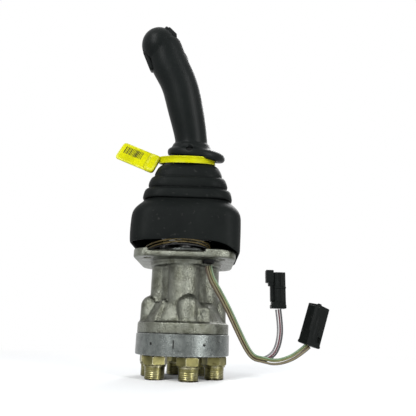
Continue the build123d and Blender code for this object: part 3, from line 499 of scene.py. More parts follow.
def background_rays(tree):
    """One for rays that see the surround directly, in a reflection or through glass."""
    path = tree.nodes.new("ShaderNodeLightPath")
    direct = math_node(tree, "MAXIMUM", path.outputs["Is Camera Ray"], path.outputs["Is Glossy Ray"])
    return math_node(tree, "MAXIMUM", direct, path.outputs["Is Transmission Ray"])


def mixed_surface(tree, share, first, second, output):
    """Leads two shaders, mixed by a share, into an output node."""
    mix = tree.nodes.new("ShaderNodeMixShader")
    for socket, source in zip(mix.inputs, (share, first, second)):
        tree.links.new(source, socket)
    tree.links.new(mix.outputs[0], tree.nodes[output].inputs["Surface"])


def make_floor():
    corners = [(x * FLOOR_HALF, y * FLOOR_HALF, GROUND) for x, y in ((-1, -1), (1, -1), (1, 1), (-1, 1))]
    floor = mesh_object("floor", corners, [(0, 1, 2, 3)], smooth=False)
    material, tree, shader, where = new_material("floor paint")
    shader.inputs["Base Color"].default_value = (0.94, 0.94, 0.94, 1)
    shader.inputs["Roughness"].default_value = 0.8
    flat = node(tree, "ShaderNodeVectorMath", {1: (1, 1, 0)}, {0: where}, operation="MULTIPLY")
    reach = node(tree, "ShaderNodeVectorMath", {}, {0: flat.outputs[0]}, operation="LENGTH")
    fade = ramp(tree, reach.outputs["Value"], FADE_START, FADE_END)
    white = node(tree, "ShaderNodeEmission", {"Strength": 1.0})
    mixed_surface(tree, math_node(tree, "MULTIPLY", fade, background_rays(tree)), shader.outputs[0],
                  white.outputs[0], "Material Output")
    floor.data.materials.append(material)


make_floor()


# %% Lamps and surround
def area_lamp(name, place, target, width, height, power):
    """A soft box; a tall narrow one draws upright highlights on round metal."""
    data = bpy.data.lights.new(name, "AREA")
    data.shape = "RECTANGLE"
    data.size = width
    data.size_y = height
    data.energy = power
    lamp = linked(name, data)
    lamp.location = place
    lamp.rotation_euler = (Vector(target) - Vector(place)).to_track_quat("-Z", "Y").to_euler()


def make_world():
    world = bpy.data.worlds.new("studio")
    bpy.context.scene.world = world
    world.use_nodes = True
    tree = world.node_tree
    ambient = tree.nodes["Background"]
    ambient.inputs["Color"].default_value = (0.9, 0.95, 1.0, 1)
    ambient.inputs["Strength"].default_value = 0.42
    backdrop = node(tree, "ShaderNodeBackground", {"Color": (1, 1, 1, 1), "Strength": 1.0})
    mixed_surface(tree, background_rays(tree), ambient.outputs[0], backdrop.outputs[0], "World Output")


make_world()
MIDDLE = (0, 0, 0.03)
area_lamp("key", (-0.42, -0.72, 0.42), MIDDLE, 0.22, 0.8, 8.0)
area_lamp("fill", (0.62, -0.6, 0.2), MIDDLE, 0.2, 0.7, 6.0)
area_lamp("rim", (0.25, 0.7, 0.65), MIDDLE, 0.5, 0.5, 5.0)

# %% [markdown]
# ## Wiring
# Eight thin wires leave the flange through a rubber grommet, run down as a flat bundle, fold once
# and part into two leads.  Each wire is one NURBS curve whose control points are the given
# route, moved sideways by the wire's own place in the bundle, so neighbours lie side by side.

# %% Routes, as in the construction model, in millimetres
SPLIT = (71.0, -25.0, -84.6)
TRUNK_ROUTE = [(22.0, -27.0, -5.2), (23.4, -27.2, -14.0), (31.0, -26.4, -26.5), (40.0, -26.0, -42.0),
               (49.0, -25.2, -60.5), (57.0, -25.0, -76.0), (63.0, -25.0, -83.4), SPLIT]
LEAD_A_ROUTE = [(77.5, -25.0, -82.0), (82.4, -25.0, -77.2), (85.6, -25.0, -68.6),
                (87.0, -25.0, -56.0), (85.2, -25.0, -41.6)]
LEAD_B_ROUTE = [(80.5, -25.0, -86.6), (91.0, -25.0, -84.6), (101.5, -25.0, -79.6),
                (111.1, -25.0, -71.6)]
DEPTH_LOSS = 0.4


def offset_route(points, across, depth, spread_end):
    """Moves each control point sideways in the picture plane and in depth."""
    shifted = []
    last = len(points) - 1
    for k, point in enumerate(points):
        before = Vector(points[max(k - 1, 0)])
        after = Vector(points[min(k + 1, last)])
        along = (after - before).normalized()
        side = Vector((-along.z, 0, along.x))
        share = k / last
        wide = across * (1 - share) + spread_end * share
        shifted.append(Vector(point) + side * wide + Vector((0, depth * (1 - DEPTH_LOSS * share), 0)))
    return shifted


def curve_length(points):
    """Length in metres of the line that nurbs_curve draws, from its evaluated mesh."""
    curve = nurbs_curve("measure", points, 0.0)
    mesh = bpy.data.meshes.new_from_object(curve)
    total = sum((mesh.vertices[e.vertices[0]].co - mesh.vertices[e.vertices[1]].co).length
                for e in mesh.edges)
    data = curve.data
    bpy.data.objects.remove(curve)
    bpy.data.curves.remove(data)
    bpy.data.meshes.remove(mesh)
    return total


def nurbs_curve(name, points, radius):
    data = bpy.data.curves.new(name, "CURVE")
    data.dimensions = "3D"
    data.bevel_depth = radius
    data.bevel_resolution = 3
    data.resolution_u = 10
    data.use_fill_caps = radius > 0
    spline = data.splines.new("NURBS")
    spline.points.add(len(points) - 1)
    for target, point in zip(spline.points, points):
        target.co = (*(Vector(point) * MM), 1.0)
    spline.order_u = 3
    spline.use_endpoint_u = True
    return linked(name, data)


# %% Wires
def wire_finish(name, colour, dark):
    return finish(name, colour, dark, tuple(min(1.0, c * 1.6 + 0.02) for c in colour),
                  rough=(0.3, 0.45), grain_scale=700.0, bump=0.04, wear_width=0.0002, wear=0.3,
                  patch_scale=90.0, speck_share=0.15)


WIRE_COLOURS = {}
for colour, bright, dark in (
        ("pale green", (0.14, 0.21, 0.12), (0.08, 0.12, 0.07)),
        ("olive", (0.13, 0.13, 0.045), (0.08, 0.08, 0.03)),
        ("tan", (0.13, 0.11, 0.055), (0.08, 0.065, 0.035)),
        ("brown", (0.05, 0.026, 0.016), (0.03, 0.018, 0.012)),
        ("maroon", (0.07, 0.014, 0.02), (0.045, 0.01, 0.014)),
        ("black", (0.015, 0.015, 0.016), (0.03, 0.03, 0.03)),
        ("grey", (0.13, 0.13, 0.13), (0.08, 0.08, 0.085)),
        ("violet", (0.06, 0.055, 0.08), (0.04, 0.035, 0.055))):
    WIRE_COLOURS[colour.replace(" ", "_")] = wire_finish(colour + " insulation", bright, dark)
# colour, lead, place across the bundle, place in depth, place where it enters its plug
WIRES = [("black", "a", -1.4, 0.9, -2.2), ("maroon", "a", -0.1, 0.8, -0.3), ("grey", "a", 1.2, 0.9, 1.9),
         ("brown", "b", -2.6, -0.3, -0.8), ("violet", "b", -0.9, 0.2, -2.2),
         ("tan", "b", -1.2, -1.0, -1.6), ("olive", "b", 0.9, -1.0, 0.8),
         ("pale_green", "b", 2.6, -0.5, 2.2)]
WIRE_RADIUS = 0.78


def make_wires():
    wires = []
    for colour, lead, across, depth, end in WIRES:
        route = TRUNK_ROUTE + (LEAD_A_ROUTE if lead == "a" else LEAD_B_ROUTE)
        points = offset_route(route, across, depth, end)
        length = curve_length(points)
        wire = nurbs_curve(f"wire_{colour}", points, WIRE_RADIUS * MM)
        wire.data.materials.append(WIRE_COLOURS[colour])
        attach(wire, "valve")
        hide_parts("harness_trunk", f"harness_lead_{lead}")
        wires.append((wire, lead, points[0] * MM, length))
        print("wire", colour, "length", round(length, 4))
    return wires


wires = make_wires()

# %% [markdown]
# ## The service loop under the boot
# Two of the wires are led once round the top plate before they leave, and show as arcs in the gap
# between flange and boot.  They are held at both ends, so they are plain curves and not free cords.

# %% Service loop
LOOP_ROUTE = [(22.0, -27.0, 7.5), (22.6, -30.4, 12.0), (13.5, -38.2, 14.2), (-4.0, -41.0, 15.4),
              (-21.0, -37.6, 13.4), (-34.5, -25.0, 11.2), (-39.6, -6.5, 10.4), (-36.0, 14.0, 10.4),
              (-25.5, 29.5, 10.3), (-9.4, 38.5, 10.2)]
LOOP_COPPER = wire_finish("loop insulation", (0.2, 0.15, 0.055), (0.1, 0.072, 0.026))
LOOP_RADIUS = 0.72
for index, (side, rise, material) in enumerate(((1.0, 1.9, LOOP_COPPER), (-0.6, -0.3, LOOP_COPPER),
                                                (0.6, -2.7, WIRE_COLOURS["black"]))):
    shifted = []
    for x, y, z in LOOP_ROUTE:
        reach = math.hypot(x, y)
        shifted.append((x * (1 + side / reach), y * (1 + side / reach), z + rise))
    loop = nurbs_curve(f"service_loop_{index + 1}", shifted, LOOP_RADIUS * MM)
    loop.data.materials.append(material)
    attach(loop, "valve")
    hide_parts("wire_loop")

# %% [markdown]
# ## The casting
# The body is one gravity-cast aluminium piece, so every inside corner on it is a generous fillet
# and only the machined faces are crisp.  Hand-made fillets on so many crossing shapes are slow, and
# a Bevel modifier fails on them.  A merged copy of the solid is rebuilt from small cubes with a
# Remesh modifier instead, then smoothed, which rounds each corner the way a casting cools.

# %% Rebuilding a solid as a moulded shape
MEET_OVERLAP = 0.0004


def merged_copy(name, *nodes, parted_at=()):
    """One mesh from copies of nodes, which are lengthened a little where they meet on a level."""
    work = bmesh.new()
    scratch = bpy.data.meshes.new("scratch")
    for source in nodes:
        part = bmesh.new()
        part.from_mesh(NODES[source].data)
        bmesh.ops.remove_doubles(part, verts=part.verts, dist=DOUBLES)
        low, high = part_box(source)
        for vertex in part.verts:
            if any(abs(vertex.co.z - level) < 2 * DOUBLES for level in parted_at):
                vertex.co.z += MEET_OVERLAP if vertex.co.z > (low[2] + high[2]) / 2 else -MEET_OVERLAP
        part.to_mesh(scratch)
        part.free()
        work.from_mesh(scratch)
    bpy.data.meshes.remove(scratch)
    return from_bmesh(name, work)


def join_meshes(piece, *others):
    """Adds other pieces' meshes to the first one; overlaps are fused by the remesh after it."""
    work = bmesh.new()
    for source in (piece, *others):
        work.from_mesh(source.data)
    work.to_mesh(piece.data)
    work.free()
    for source in others:
        bpy.data.objects.remove(source)
    return piece


def moulded(piece, cell, rounds, weight=None):
    """Remeshes in cubes of one cell and smooths; weight gives each point its share of smoothing."""
    piece = modified(piece, "REMESH", mode="VOXEL", voxel_size=cell)
    if weight:
        group = piece.vertex_groups.new(name="soft")
        for vertex in piece.data.vertices:
            group.add([vertex.index], weight(vertex.co), "REPLACE")
    piece = modified(piece, "SMOOTH", factor=0.5, iterations=rounds, vertex_group="soft" if weight else "")
    piece.vertex_groups.clear()
    shade(piece)
    print(piece.name, "faces", len(piece.data.polygons))
    return piece


# %% Casting
CAST_CELL = 0.9 * MM
CAST_NODES = ("mounting_flange", "valve_body", "body_foot")
CAST_JOINTS = (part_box("valve_body")[1][2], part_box("valve_body")[0][2])
FLANGE_FACES = -0.4 * MM
RING_TOP = -56.2 * MM
CRISP = 0.35


def casting_softness(point):
    """Cast surfaces round off; the flange's machined faces and the joint ring stay crisp."""
    return CRISP if point.z > FLANGE_FACES or point.z < RING_TOP else 1.0


casting = moulded(merged_copy("casting", *CAST_NODES, parted_at=CAST_JOINTS), CAST_CELL, 9,
                  casting_softness)
casting.data.materials.append(CAST)
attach(casting, "valve")
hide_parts(*CAST_NODES)

# %% [markdown]
# ## Port fittings
# Six identical steel fittings stand on the port plate: a hexagon with turned chamfers, a thin
# collar and a threaded end.  The shape is a table of radii over angle and height, where a hexagon
# cut by a cone gives the curved chamfers.  Geometry Nodes then sets the one mesh on a circle.

# %% One fitting as a polar height field
HEX_FLATS = 19.0 * MM
HEX_TURN = math.radians(20)
HEX_TOP = PLATE_FOOT
HEX_HEIGHT = 8.2 * MM
HEX_FOOT = PLATE_FOOT - HEX_HEIGHT
COLLAR_FOOT = HEX_FOOT - 1.0 * MM
THREAD_RADIUS = 8.73 * MM
THREAD_PITCH = 1.59 * MM
THREAD_DEPTH = 0.28 * MM
HEX_ROWS, THREAD_ROWS = 14, 44
FITTING_SEGMENTS = 72
FITTING_END = (  # radius and rise above the end, in millimetres: sealing groove and bore
    (7.2, 0.0), (7.1, 1.2), (5.7, 1.2), (5.6, 0.0), (4.9, 0.0), (4.6, 0.4), (4.6, 14.0))


def hexagon_radius(angle, level):
    """Distance to the hexagon's side, cut back by a 30 degree cone at both ends."""
    sector = (angle - HEX_TURN) % (math.pi / 3) - math.pi / 6
    flat = HEX_FLATS / 2 / math.cos(sector)
    edge = min(level - HEX_FOOT, HEX_TOP - level)
    return min(flat, HEX_FLATS / 2 * 0.985 + edge * 1.75)


def thread_radius(angle, level):
    """Sixty degree thread that runs out under the collar and at the chamfered end."""
    turn = (level / THREAD_PITCH + angle / (2 * math.pi)) % 1.0
    ridge = abs(2 * turn - 1)
    run = min(1.0, (COLLAR_FOOT - 2.0 * MM - level) / (1.0 * MM), (level - GROUND) / (0.9 * MM))
    depth = THREAD_DEPTH * max(0.0, run)
    end = THREAD_RADIUS - max(0.0, 1.1 * MM - (level - GROUND)) * 0.8
    return min(THREAD_RADIUS - depth * (1 - ridge), end)


def fitting_rings():
    """Level and radius of each ring; a radius may be a function of angle and level."""
    side = HEX_FLATS / 2
    rings = [(HEX_TOP - HEX_HEIGHT * k / HEX_ROWS, hexagon_radius) for k in range(HEX_ROWS + 1)]
    rings += [(HEX_FOOT, side + 0.1 * MM), (HEX_FOOT - 0.15 * MM, side + 0.3 * MM),
              (COLLAR_FOOT + 0.15 * MM, side + 0.3 * MM), (COLLAR_FOOT, side + 0.1 * MM),
              (COLLAR_FOOT, THREAD_RADIUS)]
    rings += [(COLLAR_FOOT + (GROUND - COLLAR_FOOT) * k / THREAD_ROWS, thread_radius)
              for k in range(1, THREAD_ROWS + 1)]
    return rings + [(GROUND + rise * MM, radius * MM) for radius, rise in FITTING_END]


def fitting_mesh():
    rings = []
    for level, radius in fitting_rings():
        rings.append(turned_ring(lambda angle: radius(angle, level) if callable(radius) else radius,
                                 level, FITTING_SEGMENTS))
    return skin("port_fittings", rings)


# %% Parts that the Geometry Nodes trees share
def geometry_group(name, inputs):
    """A tree with geometry first, then the inputs by label and kind, then a material."""
    tree = bpy.data.node_groups.new(name, "GeometryNodeTree")
    for label, kind in (("Geometry", "Geometry"), *inputs, ("Material", "Material")):
        tree.interface.new_socket(label, in_out="INPUT", socket_type="NodeSocket" + kind)
    tree.interface.new_socket("Geometry", in_out="OUTPUT", socket_type="NodeSocketGeometry")
    return tree, tree.nodes.new("NodeGroupInput").outputs, tree.nodes.new("NodeGroupOutput").inputs


def copies_out(tree, inside, out, links):
    """Instances on points, made real, painted and led out of the tree."""
    copies = node(tree, "GeometryNodeInstanceOnPoints", {}, links)
    real = node(tree, "GeometryNodeRealizeInstances", {}, {"Geometry": copies.outputs[0]})
    paint = node(tree, "GeometryNodeSetMaterial", {}, {"Geometry": real.outputs[0],
                                                       "Material": inside["Material"]})
    tree.links.new(paint.outputs[0], out[0])
    return tree


# %% A tree that sets copies of its own mesh on a circle
def circle_tree():
    tree, inside, out = geometry_group("copies on a circle", (
        ("Count", "Int"), ("Radius", "Float"), ("Start", "Float"), ("Turn", "Float")))
    index = tree.nodes.new("GeometryNodeInputIndex").outputs[0]
    step = math_node(tree, "DIVIDE", 2 * math.pi, inside["Count"])
    angle = math_node(tree, "ADD", math_node(tree, "MULTIPLY", index, step), inside["Start"])
    x = math_node(tree, "MULTIPLY", math_node(tree, "COSINE", angle), inside["Radius"])
    y = math_node(tree, "MULTIPLY", math_node(tree, "SINE", angle), inside["Radius"])
    place = node(tree, "ShaderNodeCombineXYZ", {}, {"X": x, "Y": y})
    points = node(tree, "GeometryNodePoints", {}, {"Count": inside["Count"],
                                                   "Position": place.outputs[0]})
    spin = math_node(tree, "MULTIPLY", index, inside["Turn"])
    turned = node(tree, "ShaderNodeCombineXYZ", {}, {"Z": spin})
    return copies_out(tree, inside, out, {"Points": points.outputs[0], "Instance": inside["Geometry"],
                                          "Rotation": turned.outputs[0]})


def run_tree(piece, tree, values):
    """Puts a tree on a piece, sets inputs by socket identifier, and makes the result its mesh."""
    modifier = piece.modifiers.new("nodes", "NODES")
    modifier.node_group = tree
    for item in tree.interface.items_tree:
        if item.item_type == "SOCKET" and item.in_out == "INPUT" and item.name in values:
            modifier[item.identifier] = values[item.name]
    return apply_modifiers(piece)


# %% Six fittings
PORT_CIRCLE = 30.7 * MM
PORT_START = math.radians(-90 + 14)
fittings = run_tree(fitting_mesh(), circle_tree(), {"Count": 6, "Radius": PORT_CIRCLE, "Start": PORT_START,
                                             "Turn": math.radians(37), "Material": PLATED})
shade(fittings)
fittings.data.set_sharp_from_angle(angle=math.radians(24))
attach(fittings, "valve")
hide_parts(*[f"port_fitting_{k}" for k in range(1, 7)])
print("fittings faces", len(fittings.data.polygons))

# %% [markdown]
# ## Boot
# The rubber boot is a rounded square in plan, so it is drawn as a stack of rounded-square rings:
# a tall skirt, a soft shoulder and three flat folds with a narrow valley under each.  It is made
# as two skins that meet at the lowest valley, since the universal joint bends it in two directions,
# and each ring is tilted and shifted by its level.

# %% Rounded-square rings
RING_POINTS = 96
TILT_BY_LEVEL = [(13, 0, 0), (40, 0, 0), (48, 2, 0.3), (54.5, 4, 0.6), (58.5, 6, 1.0), (62, 8, 2.0),
                 (70.5, 11, 4.0), (74, 13, 5.0), (77, 14, 6.0), (83.5, 16, 9.0), (86, 17, 10.0),
                 (89, 18, 11.0), (95.5, 18, 13.3), (98.4, 18, 14.3), (104.9, 18, 16.5)]
LOWER_BOOT = [  # half width, corner radius, level
    (49.2, 16.6, 13.1), (49.9, 17.0, 13.0), (50.3, 17.2, 13.9), (50.7, 17.8, 18.0), (51.0, 18.5, 26.0),
    (51.0, 19.5, 34.0), (50.9, 20.0, 39.5), (50.2, 20.6, 43.6), (48.7, 21.2, 47.6), (46.8, 21.6, 51.0),
    (44.6, 21.8, 54.0), (43.0, 21.6, 56.2), (42.4, 21.4, 57.7), (42.0, 21.0, 58.7), (41.5, 21.0, 59.3)]
UPPER_BOOT = [
    (41.5, 21.0, 59.3), (41.9, 21.0, 59.7), (42.5, 21.0, 60.3), (42.8, 21.0, 61.4), (42.7, 21.0, 63.5),
    (42.2, 21.0, 66.5), (41.5, 21.0, 69.6), (40.6, 21.0, 71.6), (39.5, 20.6, 72.8), (38.1, 20.2, 73.5),
    (37.8, 20.0, 74.1), (38.2, 20.0, 75.0), (38.4, 20.0, 76.2), (38.0, 20.0, 78.6), (37.1, 20.0, 81.2),
    (36.0, 20.0, 83.4), (34.9, 19.6, 84.9), (33.2, 18.8, 85.7), (32.8, 18.6, 86.2), (33.0, 19.0, 87.2),
    (32.7, 19.0, 88.4), (31.9, 19.0, 90.6), (30.6, 18.8, 93.0), (29.0, 18.7, 95.3), (26.6, 20.0, 97.2),
    (24.3, 21.6, 98.4), (23.5, 21.6, 100.5), (23.2, 21.3, 102.8), (22.6, 21.0, 104.9)]


def by_level(level):
    """Tilt in degrees and shift in millimetres of the ring at a level."""
    for (low, tilt_a, shift_a), (high, tilt_b, shift_b) in zip(TILT_BY_LEVEL, TILT_BY_LEVEL[1:]):
        if level <= high:
            share = max(0.0, (level - low) / (high - low))
            return tilt_a + (tilt_b - tilt_a) * share, shift_a + (shift_b - shift_a) * share
    return TILT_BY_LEVEL[-1][1:]


def rounded_square(half, corner):
    """Evenly spaced points round a rounded square, starting in the middle of its right side."""
    straight = half - corner
    quarter = math.pi / 2 * corner
    side = 2 * straight + quarter
    points = []
    for k in range(RING_POINTS):
        run = (k / RING_POINTS * 4 * side + straight) % (4 * side)
        face, along = divmod(run, side)
        if along < 2 * straight:
            x, y = half, along - straight
        else:
            angle = (along - 2 * straight) / corner
            x, y = straight + corner * math.cos(angle), straight + corner * math.sin(angle)
        turn = face * math.pi / 2
        points.append((x * math.cos(turn) - y * math.sin(turn), x * math.sin(turn) + y * math.cos(turn)))
    return points


RIM = 13  # level of the rim, in millimetres
RIM_DROP, RIM_ARCH = 7.0 * MM, 2.2 * MM
BOOT_WALL = 2.3 * MM
SLACK, NECK_SLACK, SLACK_SCALE = 0.35 * MM, 0.12 * MM, 42


def rim_drop(x, y):
    """Share of the drop: the skirt hangs lower on its right side and behind."""
    sideways = min(1.0, max(0.0, (x - 24) / 22))
    behind = min(1.0, max(0.0, (y + 10) / 40)) * min(1.0, max(0.0, (x + 20) / 40))
    return max(sideways, behind) ** 2


def boot_ring(half, corner, level):
    tilt, shift = by_level(level)
    angle = math.radians(tilt)
    slack = SLACK if 15 < level < 57 else NECK_SLACK
    ring = []
    for x, y in rounded_square(half, corner):
        point = Vector((x, y * math.cos(angle) - shift, level + y * math.sin(angle))) * MM
        point += noise.noise_vector(point * SLACK_SCALE) * slack
        arch = max(0.0, 1 - abs(x) / 40) * (1 if y < 0 else 0) * max(0.0, 1 - (level - RIM) / 12)
        point.z += RIM_ARCH * arch
        point.z -= RIM_DROP * rim_drop(x, y) * max(0.0, 1 - (level - RIM) / 14)
        ring.append(point)
    return ring


def boot_skin(name, table):
    piece = skin(name, [boot_ring(*row) for row in table], False, False)
    piece = modified(piece, "SUBSURF", levels=1, render_levels=1)
    piece = modified(piece, "SOLIDIFY", thickness=BOOT_WALL, offset=-1)
    piece.data.materials.clear()
    piece.data.materials.append(BOOT)
    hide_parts("boot")
    print(name, "faces", len(piece.data.polygons))
    return piece


BOOT_SEED = 5
noise.seed_set(BOOT_SEED)
lower_boot = boot_skin("boot_skirt", LOWER_BOOT)
upper_boot = boot_skin("boot_folds", UPPER_BOOT)
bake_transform(lower_boot)
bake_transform(upper_boot)

# %% [markdown]
# ## Grip
# The handle is overmoulded in one soft rubber, so its palm lip, stem and head flow into each other.
# A copy of the solid is remeshed and smoothed, after one extra volume is set into it: the shoulder
# that swells below the thumb switch, on the side that faces the driver's thumb.

# %% Sections of the shoulder
SHOULDER = [  # x, s, half width and half depth, in millimetres on the lever's axes
    (-21.5, 146.0, 17.0, 12.0), (-21.0, 151.0, 17.6, 12.6), (-22.5, 156.0, 16.8, 12.4),
    (-24.5, 161.0, 15.4, 11.4), (-26.6, 165.0, 13.2, 9.4), (-28.0, 168.0, 9.6, 6.0)]
SHOULDER_STEPS = 48


def ellipse_ring(x, s, half_w, half_d):
    """Ring across the handle about a point of its centre line."""
    turns = [2 * math.pi * k / SHOULDER_STEPS for k in range(SHOULDER_STEPS)]
    return [on_lever(x + half_w * math.cos(turn), half_d * math.sin(turn), s) for turn in turns]


# %% Handle
HANDLE_CELL = 0.6 * MM
TRIGGER_CENTRE = (-45.5, 0, 148)
TRIGGER_AT = on_lever(*TRIGGER_CENTRE)
SWITCH_AT = on_lever(-21.6, 0, 176.6)
TIGHT_WITHIN, SOFT_OVER = 12 * MM, 6 * MM
shoulder = skin("shoulder", [ellipse_ring(*row) for row in SHOULDER])
handle = join_meshes(merged_copy("handle", "grip"), shoulder)


def handle_softness(point):
    """The edges of the two pockets stay tight round the trigger and the switch."""
    near = min((point - TRIGGER_AT).length, (point - SWITCH_AT).length)
    return min(1.0, max(0.1, (near - TIGHT_WITHIN) / SOFT_OVER))


handle = moulded(handle, HANDLE_CELL, 9, handle_softness)
handle.data.materials.append(GRIP)
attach(handle, "stick")
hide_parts("grip")

# %% [markdown]
# ## Trigger
# The finger trigger is a rounded pad under the same rubber as the handle.  It fills its pocket, so
# it is a bevelled block on the trigger's own axes, and it stands for the working piece.

# %% Trigger pad
TRIGGER_PLACE = LEVER_AXES @ shift(*TRIGGER_CENTRE) @ turn_about("Y", -90 - 23.2)
TRIGGER_SIZE = (20.3, 12.9, 5.6)
trigger_pad = box_mesh("trigger_pad", TRIGGER_SIZE,
                       TRIGGER_PLACE @ shift(0, 0, -TRIGGER_SIZE[2] / 2), 1.9, 5)
shade(trigger_pad)
trigger_pad.data.materials.append(GRIP)
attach(trigger_pad, "trigger")
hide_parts("trigger")

# %% Vent dot on the head
DOT_CENTRE = (-23.7, -14.9, 161.6)
dot = lathe("vent_dot", [(0.25, 0.35), (0.75, 0.25), (0.9, 0.0), (0.9, -1.2)], 20)
moved(dot, LEVER_AXES @ shift(*DOT_CENTRE) @ turn_about("X", 90))
dot.data.materials.append(STEEL)
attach(dot, "stick")

# %% [markdown]
# ## Seal tag and its strap
# A yellow security tag is looped round the neck of the boot.  Its strap is one moulded band with a
# raised bead along both edges, so it is a turned profile.  The tag is a thin rounded plate with a
# thick pocket that swallows the strap's end; plates like this are stacks of rounded outlines.

# %% Rounded plates
CORNER_STEPS = 7


def rounded_outline(length, width, corner):
    """Points round a rectangle with round corners, in millimetres, about its centre."""
    points = []
    for quarter in range(4):
        sign_x, sign_y = ((1, 1), (-1, 1), (-1, -1), (1, -1))[quarter]
        for k in range(CORNER_STEPS):
            angle = math.pi / 2 * (quarter + k / (CORNER_STEPS - 1))
            points.append((sign_x * (length / 2 - corner) + corner * math.cos(angle),
                           sign_y * (width / 2 - corner) + corner * math.sin(angle)))
    return points


def outline_stack(name, size, corner, rows, centre, closed):
    """Rounded outlines, each inset and raised as its row says, joined into a skin."""
    rings = []
    for inset, rise in rows:
        outline = rounded_outline(size[0] - 2 * inset, size[1] - 2 * inset, max(corner - inset, 0.2))
        rings.append([Vector((x + centre[0], y + centre[1], rise + centre[2])) * MM for x, y in outline])
    return skin(name, rings, closed, closed)


def rounded_plate(name, size, corner, edge, centre):
    """Plate of a size in millimetres, flat on top, with round corners and a rounded rim."""
    thick = size[2]
    rows = [(3 * edge, 0.0), (edge, 0.0), (0.3 * edge, 0.3 * edge), (0.0, edge),
            (0.0, thick - edge), (0.3 * edge, thick - 0.3 * edge), (edge, thick), (3 * edge, thick)]
    return outline_stack(name, size, corner, [(inset, rise - thick / 2) for inset, rise in rows],
                         centre, True)


def raised_line(name, size, corner, width, rise, centre):
    """A low bead that runs round a rounded outline."""
    rows = [(0.0, -0.3), (0.15, rise * 0.7), (0.35 * width, rise), (0.65 * width, rise),
            (width - 0.15, rise * 0.7), (width, -0.3), (0.0, -0.3)]
    return outline_stack(name, size, corner, rows, centre, False)


# %% Tag
TAG_LENGTH, TAG_WIDTH, TAG_THICK = 41.0, 21.0, 1.8
POCKET_LENGTH, POCKET_THICK = 11.0, 4.6
TAG_PLACE = (shift(-50.5, -23.5, 101.0) @ turn_about("Y", 22) @ turn_about("X", -14)
             @ turn_about("X", 90))


def make_tag():
    pocket_x = (TAG_LENGTH - POCKET_LENGTH) / 2
    plate = rounded_plate("tag", (TAG_LENGTH - 1.0, TAG_WIDTH, TAG_THICK), 3.4, 0.5, (-0.5, 0, 0))
    pocket = rounded_plate("pocket", (POCKET_LENGTH, TAG_WIDTH - 0.6, POCKET_THICK), 3.2, 1.1,
                           (pocket_x, 0, 0))
    bead = raised_line("bead", (POCKET_LENGTH - 2.6, TAG_WIDTH - 3.4), 2.4, 1.0, 0.35,
                       (pocket_x, 0, POCKET_THICK / 2))
    border = raised_line("border", (TAG_LENGTH - 2.6, TAG_WIDTH - 1.2), 2.9, 0.8, 0.25,
                         (-0.5, 0, TAG_THICK / 2))
    tag = moved(join_meshes(plate, pocket, bead, border), TAG_PLACE)
    tag.data.materials.append(YELLOW)
    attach(tag, "stick")
    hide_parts("tag_plate")
    print("tag faces", len(tag.data.polygons))


make_tag()


# %% Strap
STRAP_INNER, STRAP_OUTER, STRAP_GROOVE = 26.9, 28.4, 27.95
STRAP_LEVEL, STRAP_HALF, STRAP_CENTRE = 50.2, 3.3, (-2.2, 0)


def make_strap():
    inner, outer, half = STRAP_INNER, STRAP_OUTER, STRAP_HALF
    profile = [(inner, -half), (outer - 0.2, -half), (outer, -half + 0.2), (outer, -half + 0.9),
               (STRAP_GROOVE, -half + 1.3), (STRAP_GROOVE, half - 1.3), (outer, half - 0.9),
               (outer, half - 0.2), (outer - 0.2, half), (inner, half), (inner, -half)]
    strap = lathe("strap", [(r, STRAP_LEVEL + z) for r, z in profile], 96, STRAP_CENTRE, False)
    moved(strap, LEVER_AXES)
    strap.data.materials.append(YELLOW)
    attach(strap, "stick")
    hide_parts("tag_strap")


make_strap()

# %% [markdown]
# ### Plain bars on the tag
# A tag of this kind carries a block of printed bars.  These are plain bars of random width with no
# meaning: a Geometry Nodes tree sets thin boxes in a row, and a fixed seed picks each one's width.

# %% A tree of bars
BAR_SHARES = (0.25, 0.85)


def bars_tree():
    tree, inside, out = geometry_group("row of bars", (
        ("Count", "Int"), ("Spacing", "Float"), ("Height", "Float"), ("Thickness", "Float"),
        ("Seed", "Int")))
    step = node(tree, "ShaderNodeCombineXYZ", {}, {"X": inside["Spacing"]})
    row = node(tree, "GeometryNodeMeshLine", {}, {"Count": inside["Count"], "Offset": step.outputs[0]})
    size = node(tree, "ShaderNodeCombineXYZ", {"X": 1.0}, {"Y": inside["Height"],
                                                           "Z": inside["Thickness"]})
    bar = node(tree, "GeometryNodeMeshCube", {}, {"Size": size.outputs[0]})
    width = node(tree, "FunctionNodeRandomValue", {}, {"Seed": inside["Seed"]})
    share = ramp(tree, width.outputs[1], 0.0, 1.0, *BAR_SHARES)
    wide = math_node(tree, "MULTIPLY", share, inside["Spacing"])
    scale = node(tree, "ShaderNodeCombineXYZ", {"Y": 1.0, "Z": 1.0}, {"X": wide})
    return copies_out(tree, inside, out, {"Points": row.outputs[0], "Instance": bar.outputs[0],
                                          "Scale": scale.outputs[0]})


# %% Bars
BAR_COUNT, BAR_SPACING, BAR_HEIGHT, BAR_THICK = 13, 1.5, 8.6, 0.08
BAR_START = (-15.4, 2.6, TAG_THICK / 2)
bars = mesh_object("tag_bars", [(0, 0, 0)], [], smooth=False)
bars = run_tree(bars, bars_tree(), {"Count": BAR_COUNT, "Spacing": BAR_SPACING * MM,
                                    "Height": BAR_HEIGHT * MM, "Thickness": BAR_THICK * MM, "Seed": 4,
                                    "Material": INK})
bars = moved(bars, TAG_PLACE @ shift(*BAR_START))
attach(bars, "stick")
print("bars faces", len(bars.data.polygons))

# %% [markdown]
# ## Connectors
# Both plugs are moulded in black plastic.  Each is first put together from bevelled blocks, ribs and
# a cut socket, and then remeshed in very small cubes, which fuses the blocks and gives every edge
# the small radius of a mould.

# %% Blocks placed in a plug's own axes
MOULD_CELL = 0.26 * MM
PLUG_A_AT = shift(85.2, -25.0, -41.3)
PLUG_B_AT = shift(116.6, -25.0, -54.6) @ turn_about("Y", 18) @ turn_about("Z", 32)


